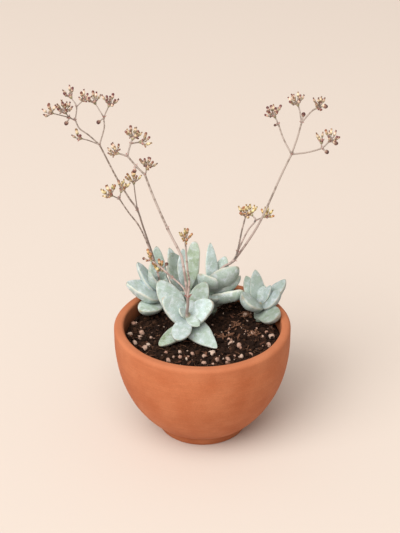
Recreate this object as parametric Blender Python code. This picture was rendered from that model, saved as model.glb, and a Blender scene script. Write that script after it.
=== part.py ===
"""A small glaucous crassula in a footed terracotta bowl.

Five leafy stems stand in holes in the gritty soil, three of them carry a branched flower stalk, and every
stalk ends in bunches of small urn-shaped flowers. Sizes are in millimetres until a mesh is finished.
World axes: +Z up, +X to the right of the front view, -Y towards the viewer.
The origin is the middle of the foot.
"""

import math
import random

import bmesh
import bpy
from mathutils import Matrix, Vector

MM = 0.001
CLEARANCE = 0.3

# Bowl
POT_HEIGHT = 73.0
POT_RADIUS = 54.7
BELLY_HEIGHT = 62.0
BELLY_DEPTH = 67.5
WALL = 6.0
INNER_DEPTH = 59.5
FOOT_RADIUS = 28.0
FOOT_HEIGHT = 6.5
CREASE_RADIUS = 30.0
FLOOR = 7.0
LIP_ROUND = 2.6
LIP_INNER_EDGE = (1.0, 0.3, 1.6)
POT_SIDES = 32
FOOT_EDGE = 0.8
BELLY_STATIONS = (9, 15, 24, 36, 49, 62)
INNER_STATIONS = (62, 42, 23, 9)
FLOOR_ROUND = 3.0
DRAIN_RADIUS = 4.5
DRAIN_CIRCLE = 13.0
DRAIN_TURNS = (90, 210, 330)
DRAIN_SIDES = 12
DRAIN_OVERRUN = 5.0

# Soil
SOIL_TOP = 63.6
SOIL_WAVE = 0.3
SOIL_SIDES = 32
SOIL_GAP = 0.5
SOIL_RINGS = (40, 30, 20, 10, 0)
SOIL_EDGE_DROP = 0.8
SOIL_RADIUS = 48.0
SOIL_LONG_WAVE = (7.1, 5.7)
SOIL_SLANT_WAVE = 4.3
SOIL_SLANT_SHARE = 0.6
SOIL_PHASE = 0.6
HOLE_LENGTH = 12.0
GRAIN_SINK = 0.25

# Grains of pumice that stand out of the soil, as x, y and radius.
GRAINS = (
    (-43.4, 14.9, 1.6), (-45.2, 1.6, 1.4), (-37.8, 2.8, 1.7), (-38.5, -3.7, 1.8), (-41.6, -9.0, 1.6),
    (-35.5, -15.3, 1.9), (-33.2, -11.9, 1.5), (-22.2, -20.5, 1.3), (-20.8, -29.4, 1.5), (-6.1, -22.2, 1.4),
    (0.9, -24.4, 1.5), (0.9, -32.2, 1.3), (5.7, -21.0, 2.2), (8.7, -29.4, 1.7), (15.4, -27.8, 1.5),
    (17.2, -10.1, 1.5), (22.4, -13.0, 1.7), (23.6, -25.0, 1.6), (29.1, -23.3, 1.5), (31.5, 2.2, 1.3),
    (40.8, -11.3, 1.7), (42.9, -1.4, 2.0),
)

# Leafy stems
STEM_RADIUS = 3.2
STEM_DEPTH = 8.0
STEM_SIDES = 8
LEAF_SIDES = 8
LEAF_RINGS = 6
LEAF_KEEL = 0.74
LEAF_HOLLOW = 0.14
LEAF_BASE_END = 0.06
LEAF_SWELL = 1.3
LEAF_THINNING = 0.75
KEEL_SHARPNESS = 1.1

# Each leaf form: where it is widest, its width at its foot, how full and how blunt it stays towards its tip,
# its thickness for its width, and how far it curls up for its length.
LEAF_FORMS = {
    "boat": (0.45, 0.55, 1.9, 0.72, 0.54, 0.05),
    "lance": (0.45, 0.55, 1.6, 0.6, 0.54, 0.05),
    "paddle": (0.55, 0.55, 1.8, 0.6, 0.54, 0.05),
    "deltoid": (0.33, 0.7, 1.35, 0.74, 0.54, 0.05),
    "wedge": (0.33, 0.92, 1.6, 0.5, 0.65, 0.0),
    "spear": (0.45, 0.4, 2.4, 0.55, 0.54, 0.05),
    "spoon": (0.57, 0.85, 2.1, 0.55, 0.54, 0.05),
    "broad": (0.43, 0.9, 1.5, 0.65, 0.54, 0.05),
}

# Flower stalks and flowers
STALK_SIDES = 5
SOCKET_DEPTH = 4.0
SOCKET_SIDES = 8
KNOB_RADIUS = 1.2
KNOB_LENGTH = 1.6
KNOB_SIDES = 6
STALKLET_RADIUS = 0.42
FLOWER_LENGTH = 3.2
FLOWER_RADIUS = 1.2
FLOWER_SIDES = 4
FLOWER_MOUTH = 0.45
FLOWER_REACH = (2.0, 3.2)
FLOWER_SIZE = (0.85, 1.15)
BUD_SIZE = 0.85
BUNCH_LEAN = math.radians(80)
BUNCH_LIFT = 0.6
BUNCH_ROOM = 3.4
BRANCH_ROOM = 1.8
GOLDEN_TURN = math.radians(137.5)
REACH_PER_FLOWER = 0.12
BUNCH_START = 0.35
LEAN_SCATTER = 0.08
TURN_SCATTER = 0.2
STALKLET_TAPER = 0.5
FLOWER_WIDEST = 0.4
SOCKET_RISE = 9.0
SOCKET_LEAD = 2.0

# Each stem: its foot in the soil, its tip, and its leaves as form, heading, rise, length, width,
# height up the stem and roll. A heading is in degrees round +Z from +X, a rise in degrees above level,
# and a roll turns the leaf on its own line.
STEMS = {
    "front": {
        "foot": (-9.0, 9.0, 60.0),
        "tip": (-9.5, -3.0, 80.5),
        "leaves": (
            ("lance", 230, -10, 27, 11, 12.5, 10), ("paddle", 42, 56, 28, 13, 13, 0),
            ("deltoid", 313, -17, 28, 15, 15, 0), ("paddle", 148, 46, 31, 14.5, 15, -5),
            ("wedge", 184, 47, 21.5, 14.5, 18, -6), ("wedge", 352, 41, 20.5, 14.5, 18, 8),
            ("paddle", 253, -14, 21.5, 12, 20.5, 0), ("boat", 60, 56, 11, 7, 20.5, 0),
            ("boat", 318, -22, 11, 7, 23, 0), ("boat", 205, 52, 8.5, 6, 22, 0),
        ),
    },
    "left": {
        "foot": (-27.2, 32.0, 60.0),
        "tip": (-26.9, 32.0, 80.5),
        "leaves": (
            ("lance", 238, 6, 23, 14.5, 10.5, -8), ("boat", 66, 62, 13, 9, 14.5, 0),
            ("deltoid", 204, 27, 26.5, 19, 15.5, -14), ("boat", 25, 48, 9, 8, 14, 0),
            ("boat", 160, 50, 25.5, 11, 15, 0), ("boat", 118, 60, 22, 11, 16, 0),
            ("lance", 103, 66, 30, 11, 16, 0), ("boat", 300, 58, 12, 8, 18, 0),
            ("boat", 70, 50, 13, 9, 15, 0), ("boat", 214, 62, 18, 9, 17.5, 0),
        ),
    },
    "back": {
        "foot": (-10.0, 31.0, 60.0),
        "tip": (-9.5, 31.0, 80.0),
        "leaves": (
            ("lance", 134, 56, 27.5, 16, 16.5, -8), ("spear", 63, 68, 32.5, 10.5, 18, 0),
            ("boat", 105, 63, 28, 10, 17, 0), ("boat", 240, 50, 10, 7, 12.5, 0),
            ("boat", 78, 32, 22, 12, 11, 0), ("boat", 129, 54, 34, 11, 13, 0),
            ("boat", 315, 50, 10, 7, 12.5, 0),
        ),
    },
    "middle": {
        "foot": (5.5, 28.0, 60.0),
        "tip": (8.0, 27.0, 87.0),
        "leaves": (
            ("spoon", 348, 16, 20.5, 14, 15.5, -38), ("boat", 356, 31, 20, 13, 20.5, -15),
            ("broad", 338, 41, 20.5, 17, 26.5, -50), ("broad", 216, 40, 15, 16, 26, 24),
            ("boat", 150, 30, 10, 8, 20, 0), ("broad", 262, 14, 11, 10, 17, 0),
            ("boat", 103, 66, 32, 8.5, 19, 0), ("broad", 60, 52, 25, 13, 18, 0),
            ("boat", 100, 26, 20, 12, 11, 0), ("boat", 48, 22, 18, 12, 10, 0),
        ),
    },
    "right": {
        "foot": (36.0, 20.5, 60.0),
        "tip": (36.0, 19.5, 76.0),
        "leaves": (
            ("spoon", 206, 31, 14.5, 15.5, 15, -8), ("spoon", 302, 13, 21.5, 13, 10, 30),
            ("boat", 347, 40, 18, 12.5, 13, 16), ("boat", 24, 40, 24.5, 12, 12, 0),
            ("boat", 104, 60, 23.5, 9.5, 13, 0), ("boat", 125, 46, 22, 11, 12, 0),
            ("boat", 70, 54, 15, 10, 12, 0), ("boat", 60, 62, 12.5, 7.5, 14, 0),
            ("boat", 20, 58, 15, 7, 14, 0), ("boat", 160, 50, 9, 7, 12, 0),
        ),
    },
}

# Each spray: the stem that carries it, and its branches as start radius, end radius, points, and flowers
# at the end. One flower is a single bud on the branch's end, and more are a bunch of their own.
SPRAYS = {
    "left": (
        (
            0.95, 0.65,
            ((-31, 33, 101), (-37, 31, 124), (-40, 29, 136), (-45, 28, 145), (-52, 25, 160), (-61, 21, 183)),
            0,
        ),
        (0.60, 0.45, ((-61, 21, 183), (-58, 23, 193), (-58, 24, 199), (-55, 24, 206)), 8),
        (0.45, 0.40, ((-58, 24, 199), (-63, 28, 206)), 7),
        (0.40, 0.40, ((-58, 24, 199), (-61, 22, 197)), 1),
        (0.60, 0.50, ((-61, 21, 183), (-67, 19, 190), (-72, 17, 195), (-74, 15, 201)), 0),
        (0.45, 0.40, ((-74, 15, 201), (-73, 16, 209), (-76, 19, 213)), 5),
        (0.40, 0.40, ((-73, 16, 209), (-69, 12, 214)), 6),
        (0.50, 0.45, ((-74, 15, 201), (-77, 14, 203), (-79, 13, 206)), 11),
        (0.45, 0.40, ((-77, 14, 203), (-86, 8, 208)), 6),
        (0.40, 0.40, ((-77, 14, 203), (-79, 13, 200)), 1),
        (0.45, 0.40, ((-61, 21, 183), (-67, 18, 187), (-71, 16, 189)), 4),
        (0.50, 0.45, ((-40, 29, 136), (-41, 31, 143), (-42, 33, 152)), 7),
        (
            0.80, 0.55,
            ((-30, 33, 95), (-34, 30, 111), (-39, 25, 127), (-45, 20, 139), (-50, 16, 150)),
            0,
        ),
        (0.50, 0.45, ((-50, 16, 150), (-54, 14, 153)), 9),
        (0.50, 0.45, ((-50, 16, 150), (-49, 17, 154)), 9),
    ),
    "front": (
        (
            0.95, 0.60,
            ((-9, -4, 93), (-12, 1, 115), (-14, 3, 121), (-21, 6, 135), (-29, 9, 154), (-34, 11, 168)),
            0,
        ),
        (0.45, 0.40, ((-34, 11, 168), (-33, 12, 171)), 8),
        (0.55, 0.50, ((-34, 11, 168), (-39, 10, 174), (-44, 9, 181)), 0),
        (0.40, 0.40, ((-39, 10, 174), (-40, 8, 172)), 1),
        (0.50, 0.45, ((-44, 9, 181), (-49, 8, 183)), 8),
        (0.50, 0.45, ((-44, 9, 181), (-42, 11, 188), (-41, 12, 190)), 10),
        (0.45, 0.40, ((-42, 11, 188), (-37, 13, 188)), 7),
        (
            0.65, 0.50,
            ((-9, -4, 93), (-8, -8, 106), (-9, -10, 116), (-10, -13, 134), (-10, -14, 137)),
            8,
        ),
        (0.50, 0.45, ((-9, -4, 93), (-12, 0, 98), (-18, 6, 101), (-24, 10, 104)), 6),
        (0.45, 0.40, ((-18, 6, 101), (-25, 8, 107), (-31, 10, 111)), 4),
    ),
    "middle": (
        (
            0.95, 0.60,
            (
                (10.5, 31, 92), (14, 34.5, 94), (20, 35, 98), (30, 28, 118), (36, 26, 131),
                (42, 25, 147), (47, 24, 161), (53, 23, 176),
            ),
            0,
        ),
        (0.50, 0.45, ((53, 23, 176), (48, 26, 185), (45, 28, 193), (43, 29, 197)), 10),
        (0.40, 0.40, ((45, 28, 193), (43, 27, 193)), 1),
        (0.60, 0.50, ((53, 23, 176), (56, 22, 187), (58, 21, 197)), 0),
        (0.45, 0.40, ((58, 21, 197), (57, 24, 203), (56, 25, 206)), 10),
        (0.40, 0.40, ((58, 21, 197), (59, 21, 202)), 1),
        (0.50, 0.45, ((58, 21, 197), (63, 18, 205), (66, 16, 208)), 9),
        (0.55, 0.45, ((53, 23, 176), (62, 19, 179), (70, 16, 183), (74, 14, 188)), 8),
        (0.40, 0.40, ((70, 16, 183), (70, 18, 185)), 5),
        (0.40, 0.40, ((70, 16, 183), (73, 15, 181)), 1),
        (0.65, 0.50, ((20, 35, 98), (22, 30, 107), (24, 20, 126), (26, 16, 138)), 8),
        (0.60, 0.50, ((22, 30, 107), (28, 32, 120), (33, 35, 126), (31, 36, 129)), 7),
        (0.45, 0.40, ((33, 35, 126), (38, 38, 127)), 7),
    ),
}

TERRACOTTA = ((0.56, 0.20, 0.09), 0.75)
PEAT = ((0.05, 0.03, 0.02), 0.95)
GLAUCOUS_LEAF = ((0.50, 0.62, 0.57), 0.6)
DRY_STALK = ((0.42, 0.30, 0.25), 0.7)
OLIVE_FLOWER = ((0.45, 0.34, 0.12), 0.6)


def clear_scene():
    for old in list(bpy.data.objects):
        bpy.data.objects.remove(old)


def finish_material(name, colour, roughness):
    material = bpy.data.materials.new(name)
    material.use_nodes = True
    shader = material.node_tree.nodes["Principled BSDF"]
    shader.inputs["Base Color"].default_value = (*colour, 1.0)
    shader.inputs["Roughness"].default_value = roughness
    shader.inputs["Metallic"].default_value = 0.0
    material.diffuse_color = (*colour, 1.0)
    return material


def add_object(name, bm):
    """Turns a bmesh in millimetres into a scene object in metres."""
    bmesh.ops.scale(bm, vec=(MM, MM, MM), verts=bm.verts)
    mesh = bpy.data.meshes.new(name)
    bm.to_mesh(mesh)
    bm.free()
    obj = bpy.data.objects.new(name, mesh)
    bpy.context.scene.collection.objects.link(obj)
    return obj


def evaluated_mesh(obj):
    bpy.context.view_layer.update()
    graph = bpy.context.evaluated_depsgraph_get()
    return bpy.data.meshes.new_from_object(obj.evaluated_get(graph))


def boolean(obj, others, operation):
    """Joins the others to an object, or cuts them from it, and removes them."""
    group = bpy.data.collections.new(obj.name + "_tools")
    bpy.context.scene.collection.children.link(group)
    for other in others:
        bpy.context.scene.collection.objects.unlink(other)
        group.objects.link(other)
        other.hide_render = True
        other.display_type = "WIRE"
    modifier = obj.modifiers.new(operation, "BOOLEAN")
    modifier.operation = operation
    modifier.operand_type = "COLLECTION"
    modifier.collection = group
    modifier.solver = "EXACT"
    mesh = evaluated_mesh(obj)
    obj.modifiers.clear()
    obj.data = mesh
    for other in others:
        bpy.data.objects.remove(other)
    bpy.data.collections.remove(group)


def keep_outer_shell(obj):
    """Drops loose scraps and the walls of sealed hollows, and keeps the one body that spans the most."""
    bm = bmesh.new()
    bm.from_mesh(obj.data)
    bmesh.ops.remove_doubles(bm, verts=bm.verts, dist=0.001 * MM)
    bmesh.ops.dissolve_degenerate(bm, edges=bm.edges, dist=0.002 * MM)
    unseen = set(bm.faces)
    shells = []
    while unseen:
        start = unseen.pop()
        shell = [start]
        front = [start]
        while front:
            for edge in front.pop().edges:
                for face in edge.link_faces:
                    if face in unseen:
                        unseen.remove(face)
                        shell.append(face)
                        front.append(face)
        shells.append(shell)

    def span(shell):
        corners = [vert.co for face in shell for vert in face.verts]
        return sum(max(co[i] for co in corners) - min(co[i] for co in corners) for i in range(3))

    outer = set(max(shells, key=span))
    bmesh.ops.delete(bm, geom=[face for face in bm.faces if face not in outer], context="FACES")
    bmesh.ops.triangulate(bm, faces=bm.faces)
    bm.to_mesh(obj.data)
    bm.free()


def settle(obj, name, foot, finish, root):
    """Names an object, moves its origin to its own foot, and gives it its finish."""
    obj.name = name
    obj.data.name = name
    place = Vector(foot) * MM
    obj.data.transform(Matrix.Translation(-place))
    obj.location = place
    obj.parent = root
    obj.data.materials.clear()
    obj.data.materials.append(finish)
    obj.data.shade_smooth()
    obj.data.set_sharp_from_angle(angle=math.radians(50))
    return obj


def turned(profile, sides):
    """Spins an outline of (radius, height) points round +Z."""
    bm = bmesh.new()
    verts = [bm.verts.new((radius, 0.0, height)) for radius, height in profile]
    edges = [bm.edges.new((a, b)) for a, b in zip(verts, verts[1:])]
    bmesh.ops.spin(
        bm, geom=verts + edges, cent=(0, 0, 0), axis=(0, 0, 1), angle=math.tau, steps=sides, use_merge=True
    )
    bmesh.ops.remove_doubles(bm, verts=bm.verts, dist=0.001)
    bmesh.ops.recalc_face_normals(bm, faces=bm.faces)
    return bm


def prism(start, end, radius, sides):
    """A straight round peg between two points, with flat ends."""
    start, end = Vector(start), Vector(end)
    axis = end - start
    bm = bmesh.new()
    place = Matrix.Translation((start + end) / 2) @ axis.to_track_quat("Z", "Y").to_matrix().to_4x4()
    bmesh.ops.create_cone(
        bm, cap_ends=True, segments=sides, radius1=radius, radius2=radius, depth=axis.length, matrix=place
    )
    return bm


def tube(points, radii, sides):
    """A round stalk along its points, with a radius at each, closed by flat ends."""
    points = [Vector(point) for point in points]
    bm = bmesh.new()
    rings = []
    side = (points[1] - points[0]).orthogonal().normalized()
    for number, (point, radius) in enumerate(zip(points, radii)):
        before = points[max(number - 1, 0)]
        after = points[min(number + 1, len(points) - 1)]
        along = (after - before).normalized()
        side = (side - side.dot(along) * along).normalized()
        across = along.cross(side)
        ring = []
        for turn in range(sides):
            angle = math.tau * turn / sides
            ring.append(bm.verts.new(point + radius * (math.cos(angle) * side + math.sin(angle) * across)))
        rings.append(ring)
    for lower, upper in zip(rings, rings[1:]):
        for turn in range(sides):
            following = (turn + 1) % sides
            bm.faces.new((lower[turn], lower[following], upper[following], upper[turn]))
    bm.faces.new(list(reversed(rings[0])))
    bm.faces.new(rings[-1])
    return bm


def branch_tube(points, start_radius, end_radius):
    last = len(points) - 1
    radii = [start_radius + (end_radius - start_radius) * number / last for number in range(len(points))]
    return tube(points, radii, STALK_SIDES)


def belly(height, radius, middle, depth):
    """The bowl's radius at a height: a quarter of an ellipse below its widest line, straight above it."""
    below = max(middle - height, 0.0)
    return radius * math.sqrt(1 - (below / depth) ** 2)


def inner_radius(height):
    return belly(height, POT_RADIUS - WALL, BELLY_HEIGHT, INNER_DEPTH)


def pot_outline():
    """The bowl's closed section, from the middle of its underside up, over the lip and down inside."""
    outline = [
        (0.0, 0.0), (FOOT_RADIUS - FOOT_EDGE, 0.0), (FOOT_RADIUS, FOOT_EDGE), (CREASE_RADIUS, FOOT_HEIGHT),
    ]
    for height in BELLY_STATIONS:
        outline.append((belly(height, POT_RADIUS, BELLY_HEIGHT, BELLY_DEPTH), height))
    centre = POT_HEIGHT - LIP_ROUND
    for turn in (0, 45, 90):
        angle = math.radians(turn)
        outline.append(
            (POT_RADIUS - LIP_ROUND * (1 - math.cos(angle)), centre + LIP_ROUND * math.sin(angle))
        )
    inside = POT_RADIUS - WALL
    step_in, step_down, edge_down = LIP_INNER_EDGE
    outline.append((inside + step_in, POT_HEIGHT - step_down))
    outline.append((inside, POT_HEIGHT - edge_down))
    for height in INNER_STATIONS:
        outline.append((inner_radius(height), height))
    outline.append((inner_radius(INNER_STATIONS[-1]) - FLOOR_ROUND, FLOOR))
    outline.append((0.0, FLOOR))
    return outline


def make_pot(root, finish):
    pot = add_object("pot", turned(pot_outline(), POT_SIDES))
    drains = []
    for turn in DRAIN_TURNS:
        x = DRAIN_CIRCLE * math.cos(math.radians(turn))
        y = DRAIN_CIRCLE * math.sin(math.radians(turn))
        hole = prism((x, y, -DRAIN_OVERRUN), (x, y, FLOOR + DRAIN_OVERRUN), DRAIN_RADIUS, DRAIN_SIDES)
        drains.append(add_object("drain", hole))
    boolean(pot, drains, "DIFFERENCE")
    keep_outer_shell(pot)
    return settle(pot, "pot", (0, 0, 0), finish, root)


def soil_height(x, y):
    """The soil's surface: low waves, sinking a little towards the wall."""
    across, deep = SOIL_LONG_WAVE
    wave = math.sin(x / across + SOIL_PHASE) * math.cos(y / deep)
    wave += SOIL_SLANT_SHARE * math.sin((x + y) / SOIL_SLANT_WAVE)
    return SOIL_TOP + SOIL_WAVE * wave - SOIL_EDGE_DROP * (math.hypot(x, y) / SOIL_RADIUS) ** 4


def soil_body():
    """The soil fills the bowl below its surface, a clearance away from the wall and the floor."""
    low = INNER_STATIONS[-1]
    bottom = FLOOR + CLEARANCE
    outline = [(0.0, bottom), (inner_radius(low) - FLOOR_ROUND - SOIL_GAP, bottom)]
    for height in (*reversed(INNER_STATIONS[1:]), SOIL_TOP):
        outline.append((inner_radius(height) - SOIL_GAP, height))
    for radius in SOIL_RINGS:
        outline.append((radius, SOIL_TOP))
    bm = turned(outline, SOIL_SIDES)
    for vert in bm.verts:
        if vert.co.z > SOIL_TOP - 0.1:
            vert.co.z = soil_height(vert.co.x, vert.co.y)
    return bm


def stem_line(stem):
    foot, tip = Vector(stem["foot"]), Vector(stem["tip"])
    return foot, tip, (tip - foot).normalized()


def make_soil(root, finish):
    soil = add_object("soil", soil_body())
    grains = []
    for x, y, radius in GRAINS:
        bm = bmesh.new()
        bmesh.ops.create_icosphere(bm, subdivisions=1, radius=radius)
        bmesh.ops.translate(bm, verts=bm.verts, vec=(x, y, soil_height(x, y) + radius * GRAIN_SINK))
        grains.append(add_object("grain", bm))
    boolean(soil, grains, "UNION")
    holes = []
    for stem in STEMS.values():
        foot, _, along = stem_line(stem)
        start = foot - along * (STEM_DEPTH / 2 + CLEARANCE)
        end = foot + along * HOLE_LENGTH
        holes.append(add_object("hole", prism(start, end, STEM_RADIUS + CLEARANCE, STEM_SIDES)))
    boolean(soil, holes, "DIFFERENCE")
    keep_outer_shell(soil)
    return settle(soil, "soil", (0, 0, SOIL_TOP), finish, root)


def leaf_half_width(form, along):
    """The leaf's width at a place from 0 at its foot to 1 at its tip, as a share of its full width."""
    widest, foot, full, point = LEAF_FORMS[form][:4]
    if along >= widest:
        return max(0.0, 1 - ((along - widest) / (1 - widest)) ** full) ** point
    closing = math.sqrt(max(0.0, 1 - (1 - min(along / LEAF_BASE_END, 1.0)) ** 2))
    widening = math.sin(along / widest * math.pi / 2) ** LEAF_SWELL
    return closing * (foot + (1 - foot) * widening)


def leaf_point(ball, form, length, width):
    """Takes a point of a unit ball to the same place on a thick keeled leaf along +X, its face up."""
    along = (ball.z + 1) / 2
    round_part = max(math.hypot(ball.x, ball.y), 1e-9)
    across, up = ball.x / round_part, ball.y / round_part
    share = leaf_half_width(form, along)
    relative_thickness, curl = LEAF_FORMS[form][4:]
    thickness = relative_thickness * width * share**LEAF_THINNING
    if up > 0:
        rise = thickness * ((1 - LEAF_KEEL) * up - LEAF_HOLLOW * up**3)
    else:
        rise = -thickness * LEAF_KEEL * abs(up) ** KEEL_SHARPNESS
    return Vector((along * length, across * share * width / 2, rise + curl * length * along**2))


def leaf_frame(base, heading, rise, roll, axis):
    """The matrix that puts a leaf at its base, pointing its way, with its face turned to the stem's axis."""
    heading, rise, roll = math.radians(heading), math.radians(rise), math.radians(roll)
    out = Vector(
        (math.cos(rise) * math.cos(heading), math.cos(rise) * math.sin(heading), math.sin(rise))
    )
    face = (axis - axis.dot(out) * out).normalized()
    side = face.cross(out)
    turn = Matrix((out, side, face)).transposed().to_4x4()
    return Matrix.Translation(base) @ turn @ Matrix.Rotation(roll, 4, "X")


def leaf(form, length, width, frame):
    bm = bmesh.new()
    bmesh.ops.create_uvsphere(bm, u_segments=LEAF_SIDES, v_segments=LEAF_RINGS, radius=1.0)
    for vert in bm.verts:
        vert.co = leaf_point(vert.co.copy(), form, length, width)
    bmesh.ops.transform(bm, matrix=frame, verts=bm.verts)
    bmesh.ops.recalc_face_normals(bm, faces=bm.faces)
    return bm


def make_rosette(name, stem, root, finish):
    foot, tip, axis = stem_line(stem)
    core = add_object("core", prism(foot - axis * STEM_DEPTH / 2, tip, STEM_RADIUS, STEM_SIDES))
    leaves = []
    for form, heading, rise, length, width, height, roll in stem["leaves"]:
        frame = leaf_frame(foot + axis * height, heading, rise, roll, axis)
        leaves.append(add_object("leaf", leaf(form, length, width, frame)))
    boolean(core, leaves, "UNION")
    if name in SPRAYS:
        radius = SPRAYS[name][0][0] + CLEARANCE
        bottom = tip - axis * (SOCKET_DEPTH + CLEARANCE)
        socket = prism(bottom, tip + axis * SOCKET_RISE, radius, SOCKET_SIDES)
        boolean(core, [add_object("socket", socket)], "DIFFERENCE")
    keep_outer_shell(core)
    return settle(core, "rosette_" + name, foot, finish, root)


def flower(base, along, reach, size):
    """A short stalklet that swells into an urn-shaped flower, narrower again at its mouth."""
    length, radius = FLOWER_LENGTH * size, FLOWER_RADIUS * size
    stations = (0, reach - STALKLET_TAPER, reach + FLOWER_WIDEST * length, reach + length)
    radii = (STALKLET_RADIUS, STALKLET_RADIUS, radius, radius * FLOWER_MOUTH)
    return tube([base + along * station for station in stations], radii, FLOWER_SIDES)


def make_spray(name, root, finish):
    """One flower stalk with its side branches and single buds, standing in a socket in its leafy stem."""
    _, tip, axis = stem_line(STEMS[name])
    parts = []
    for number, (start_radius, end_radius, points, flowers) in enumerate(SPRAYS[name]):
        if number == 0:
            points = (tip - axis * SOCKET_DEPTH, tip + axis * SOCKET_LEAD) + points
        parts.append(add_object("branch", branch_tube(points, start_radius, end_radius)))
        if flowers == 1:
            end = Vector(points[-1])
            along = (end - Vector(points[-2])).normalized()
            parts.append(add_object("bud", flower(end - along, along, 1.0, BUD_SIZE)))
    boolean(parts[0], parts[1:], "UNION")
    keep_outer_shell(parts[0])
    return settle(parts[0], "stalk_" + name, tip, finish, root)


def flower_directions(axis, count, draw):
    """Directions spread evenly over a cap round an axis."""
    side = axis.orthogonal().normalized()
    across = axis.cross(side)
    found = []
    for number in range(count):
        lean = BUNCH_LEAN * math.sqrt((number + BUNCH_START) / count)
        lean += draw.uniform(-LEAN_SCATTER, LEAN_SCATTER)
        turn = number * GOLDEN_TURN + draw.uniform(-TURN_SCATTER, TURN_SCATTER)
        sideways = math.cos(turn) * side + math.sin(turn) * across
        found.append((math.cos(lean) * axis + math.sin(lean) * sideways).normalized())
    return found


def distance_to_line(point, start, end):
    run = end - start
    share = min(max((point - start).dot(run) / run.dot(run), 0.0), 1.0)
    return (point - start - share * run).length


def is_clear(middle, taken):
    """True where a flower's middle is clear of other bunches' flowers and of every branch."""
    if any((spot - middle).length < BUNCH_ROOM for spot in taken):
        return False
    for branches in SPRAYS.values():
        for branch in branches:
            points = [Vector(point) for point in branch[2]]
            for start, end in zip(points, points[1:]):
                if distance_to_line(middle, start, end) < BRANCH_ROOM:
                    return False
    return True


def make_head(name, branch, root, finish, draw, taken):
    """One bunch: short stalklets from a small knob, each with a flower at its end."""
    points, flowers = branch[2], branch[3]
    before, end = Vector(points[-2]), Vector(points[-1])
    axis = (end - before).normalized()
    start = end + axis * CLEARANCE
    centre = start + axis
    parts = [add_object("knob", prism(start, start + axis * KNOB_LENGTH, KNOB_RADIUS, KNOB_SIDES))]
    spread_axis = (axis + Vector((0, 0, BUNCH_LIFT))).normalized()
    own = []
    for along in flower_directions(spread_axis, flowers, draw):
        reach = draw.uniform(*FLOWER_REACH) + REACH_PER_FLOWER * flowers
        size = draw.uniform(*FLOWER_SIZE)
        middle = centre + along * (reach + FLOWER_RADIUS)
        if is_clear(middle, taken):
            own.append(middle)
            parts.append(add_object("flower", flower(centre, along, reach, size)))
    taken.extend(own)
    boolean(parts[0], parts[1:], "UNION")
    keep_outer_shell(parts[0])
    return settle(parts[0], name, end, finish, root)


def build():
    clear_scene()
    root = bpy.data.objects.new("crassula", None)
    bpy.context.scene.collection.objects.link(root)
    make_pot(root, finish_material("terracotta", *TERRACOTTA))
    make_soil(root, finish_material("peat", *PEAT))
    leaf_finish = finish_material("glaucous_leaf", *GLAUCOUS_LEAF)
    for name, stem in STEMS.items():
        make_rosette(name, stem, root, leaf_finish)
    stalk_finish = finish_material("dry_stalk", *DRY_STALK)
    flower_finish = finish_material("olive_flower", *OLIVE_FLOWER)
    for name, branches in SPRAYS.items():
        make_spray(name, root, stalk_finish)
        draw = random.Random("flowers of " + name)
        taken = []
        number = 0
        for branch in branches:
            if branch[3] > 1:
                number += 1
                make_head(f"head_{name}_{number:02d}", branch, root, flower_finish, draw, taken)


build()
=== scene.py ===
"""The looks of a small potted crassula in flower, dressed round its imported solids.

Lengths are in millimetres until a mesh is finished. World axes: +Z up, +X to the right of the front
view, -Y towards the viewer. The origin is the middle of the underside of the bowl's foot.
"""

import logging
import math
import random
from dataclasses import dataclass, field
from enum import Enum
from typing import ClassVar

import bmesh
import bpy
from mathutils import Matrix, Vector, noise


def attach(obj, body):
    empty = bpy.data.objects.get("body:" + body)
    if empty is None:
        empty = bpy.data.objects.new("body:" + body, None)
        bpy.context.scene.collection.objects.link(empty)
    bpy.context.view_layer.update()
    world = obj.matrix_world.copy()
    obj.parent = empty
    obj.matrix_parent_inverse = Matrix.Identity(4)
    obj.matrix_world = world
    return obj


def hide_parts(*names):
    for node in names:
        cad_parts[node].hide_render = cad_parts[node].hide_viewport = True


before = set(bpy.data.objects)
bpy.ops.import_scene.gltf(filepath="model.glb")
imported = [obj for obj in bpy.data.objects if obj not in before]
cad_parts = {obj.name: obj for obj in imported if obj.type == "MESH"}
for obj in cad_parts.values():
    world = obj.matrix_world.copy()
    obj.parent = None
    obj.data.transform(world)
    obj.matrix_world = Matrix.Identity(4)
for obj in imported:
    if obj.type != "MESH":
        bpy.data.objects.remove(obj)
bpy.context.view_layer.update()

log = logging.getLogger("crassula")

Socket = bpy.types.NodeSocket
Span = tuple[float, float]
Triple = tuple[float, float, float]
Colours = tuple[str, str, str]

MM = 0.001
UP = Vector((0, 0, 1))
BODY = "root"
GOLDEN_TURN = math.radians(137.5)
SOIL_SEED, FLOWER_SEED = 11, 23
MERGE_DISTANCE = 0.001
FULL_SPAN = (0.0, 1.0)

# Where nearly all the values of a noise lie.
NOISE_SPAN = (0.3, 0.7)

# Sockets of Blender's colour Mix node, which has several of each name.
MIX_FACTOR, MIX_A, MIX_B, MIX_OUT = 0, 6, 7, 2

# Marks that the meshes carry for their finishes, one number a point.
MARKS = ("along", "margin", "tint", "green", "rub")


def linear(colour: str) -> tuple[float, float, float, float]:
    """Turns an sRGB hex value into the linear colour that a shader takes.

    Args:
        colour: a hash sign and six hex digits.

    Returns:
        Red, green, blue and an alpha of 1.
    """
    channels = [int(colour[start:start + 2], 16) / 255 for start in (1, 3, 5)]
    return (*[c / 12.92 if c <= 0.04045 else ((c + 0.055) / 1.055) ** 2.4 for c in channels], 1.0)


def per_mm(size: float) -> float:
    """The scale of a pattern on Object coordinates whose features are this many millimetres apart."""
    return 1 / (size * MM)


def clamped(value: float) -> float:
    """The value, held between 0 and 1."""
    return min(max(value, 0.0), 1.0)


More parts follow.
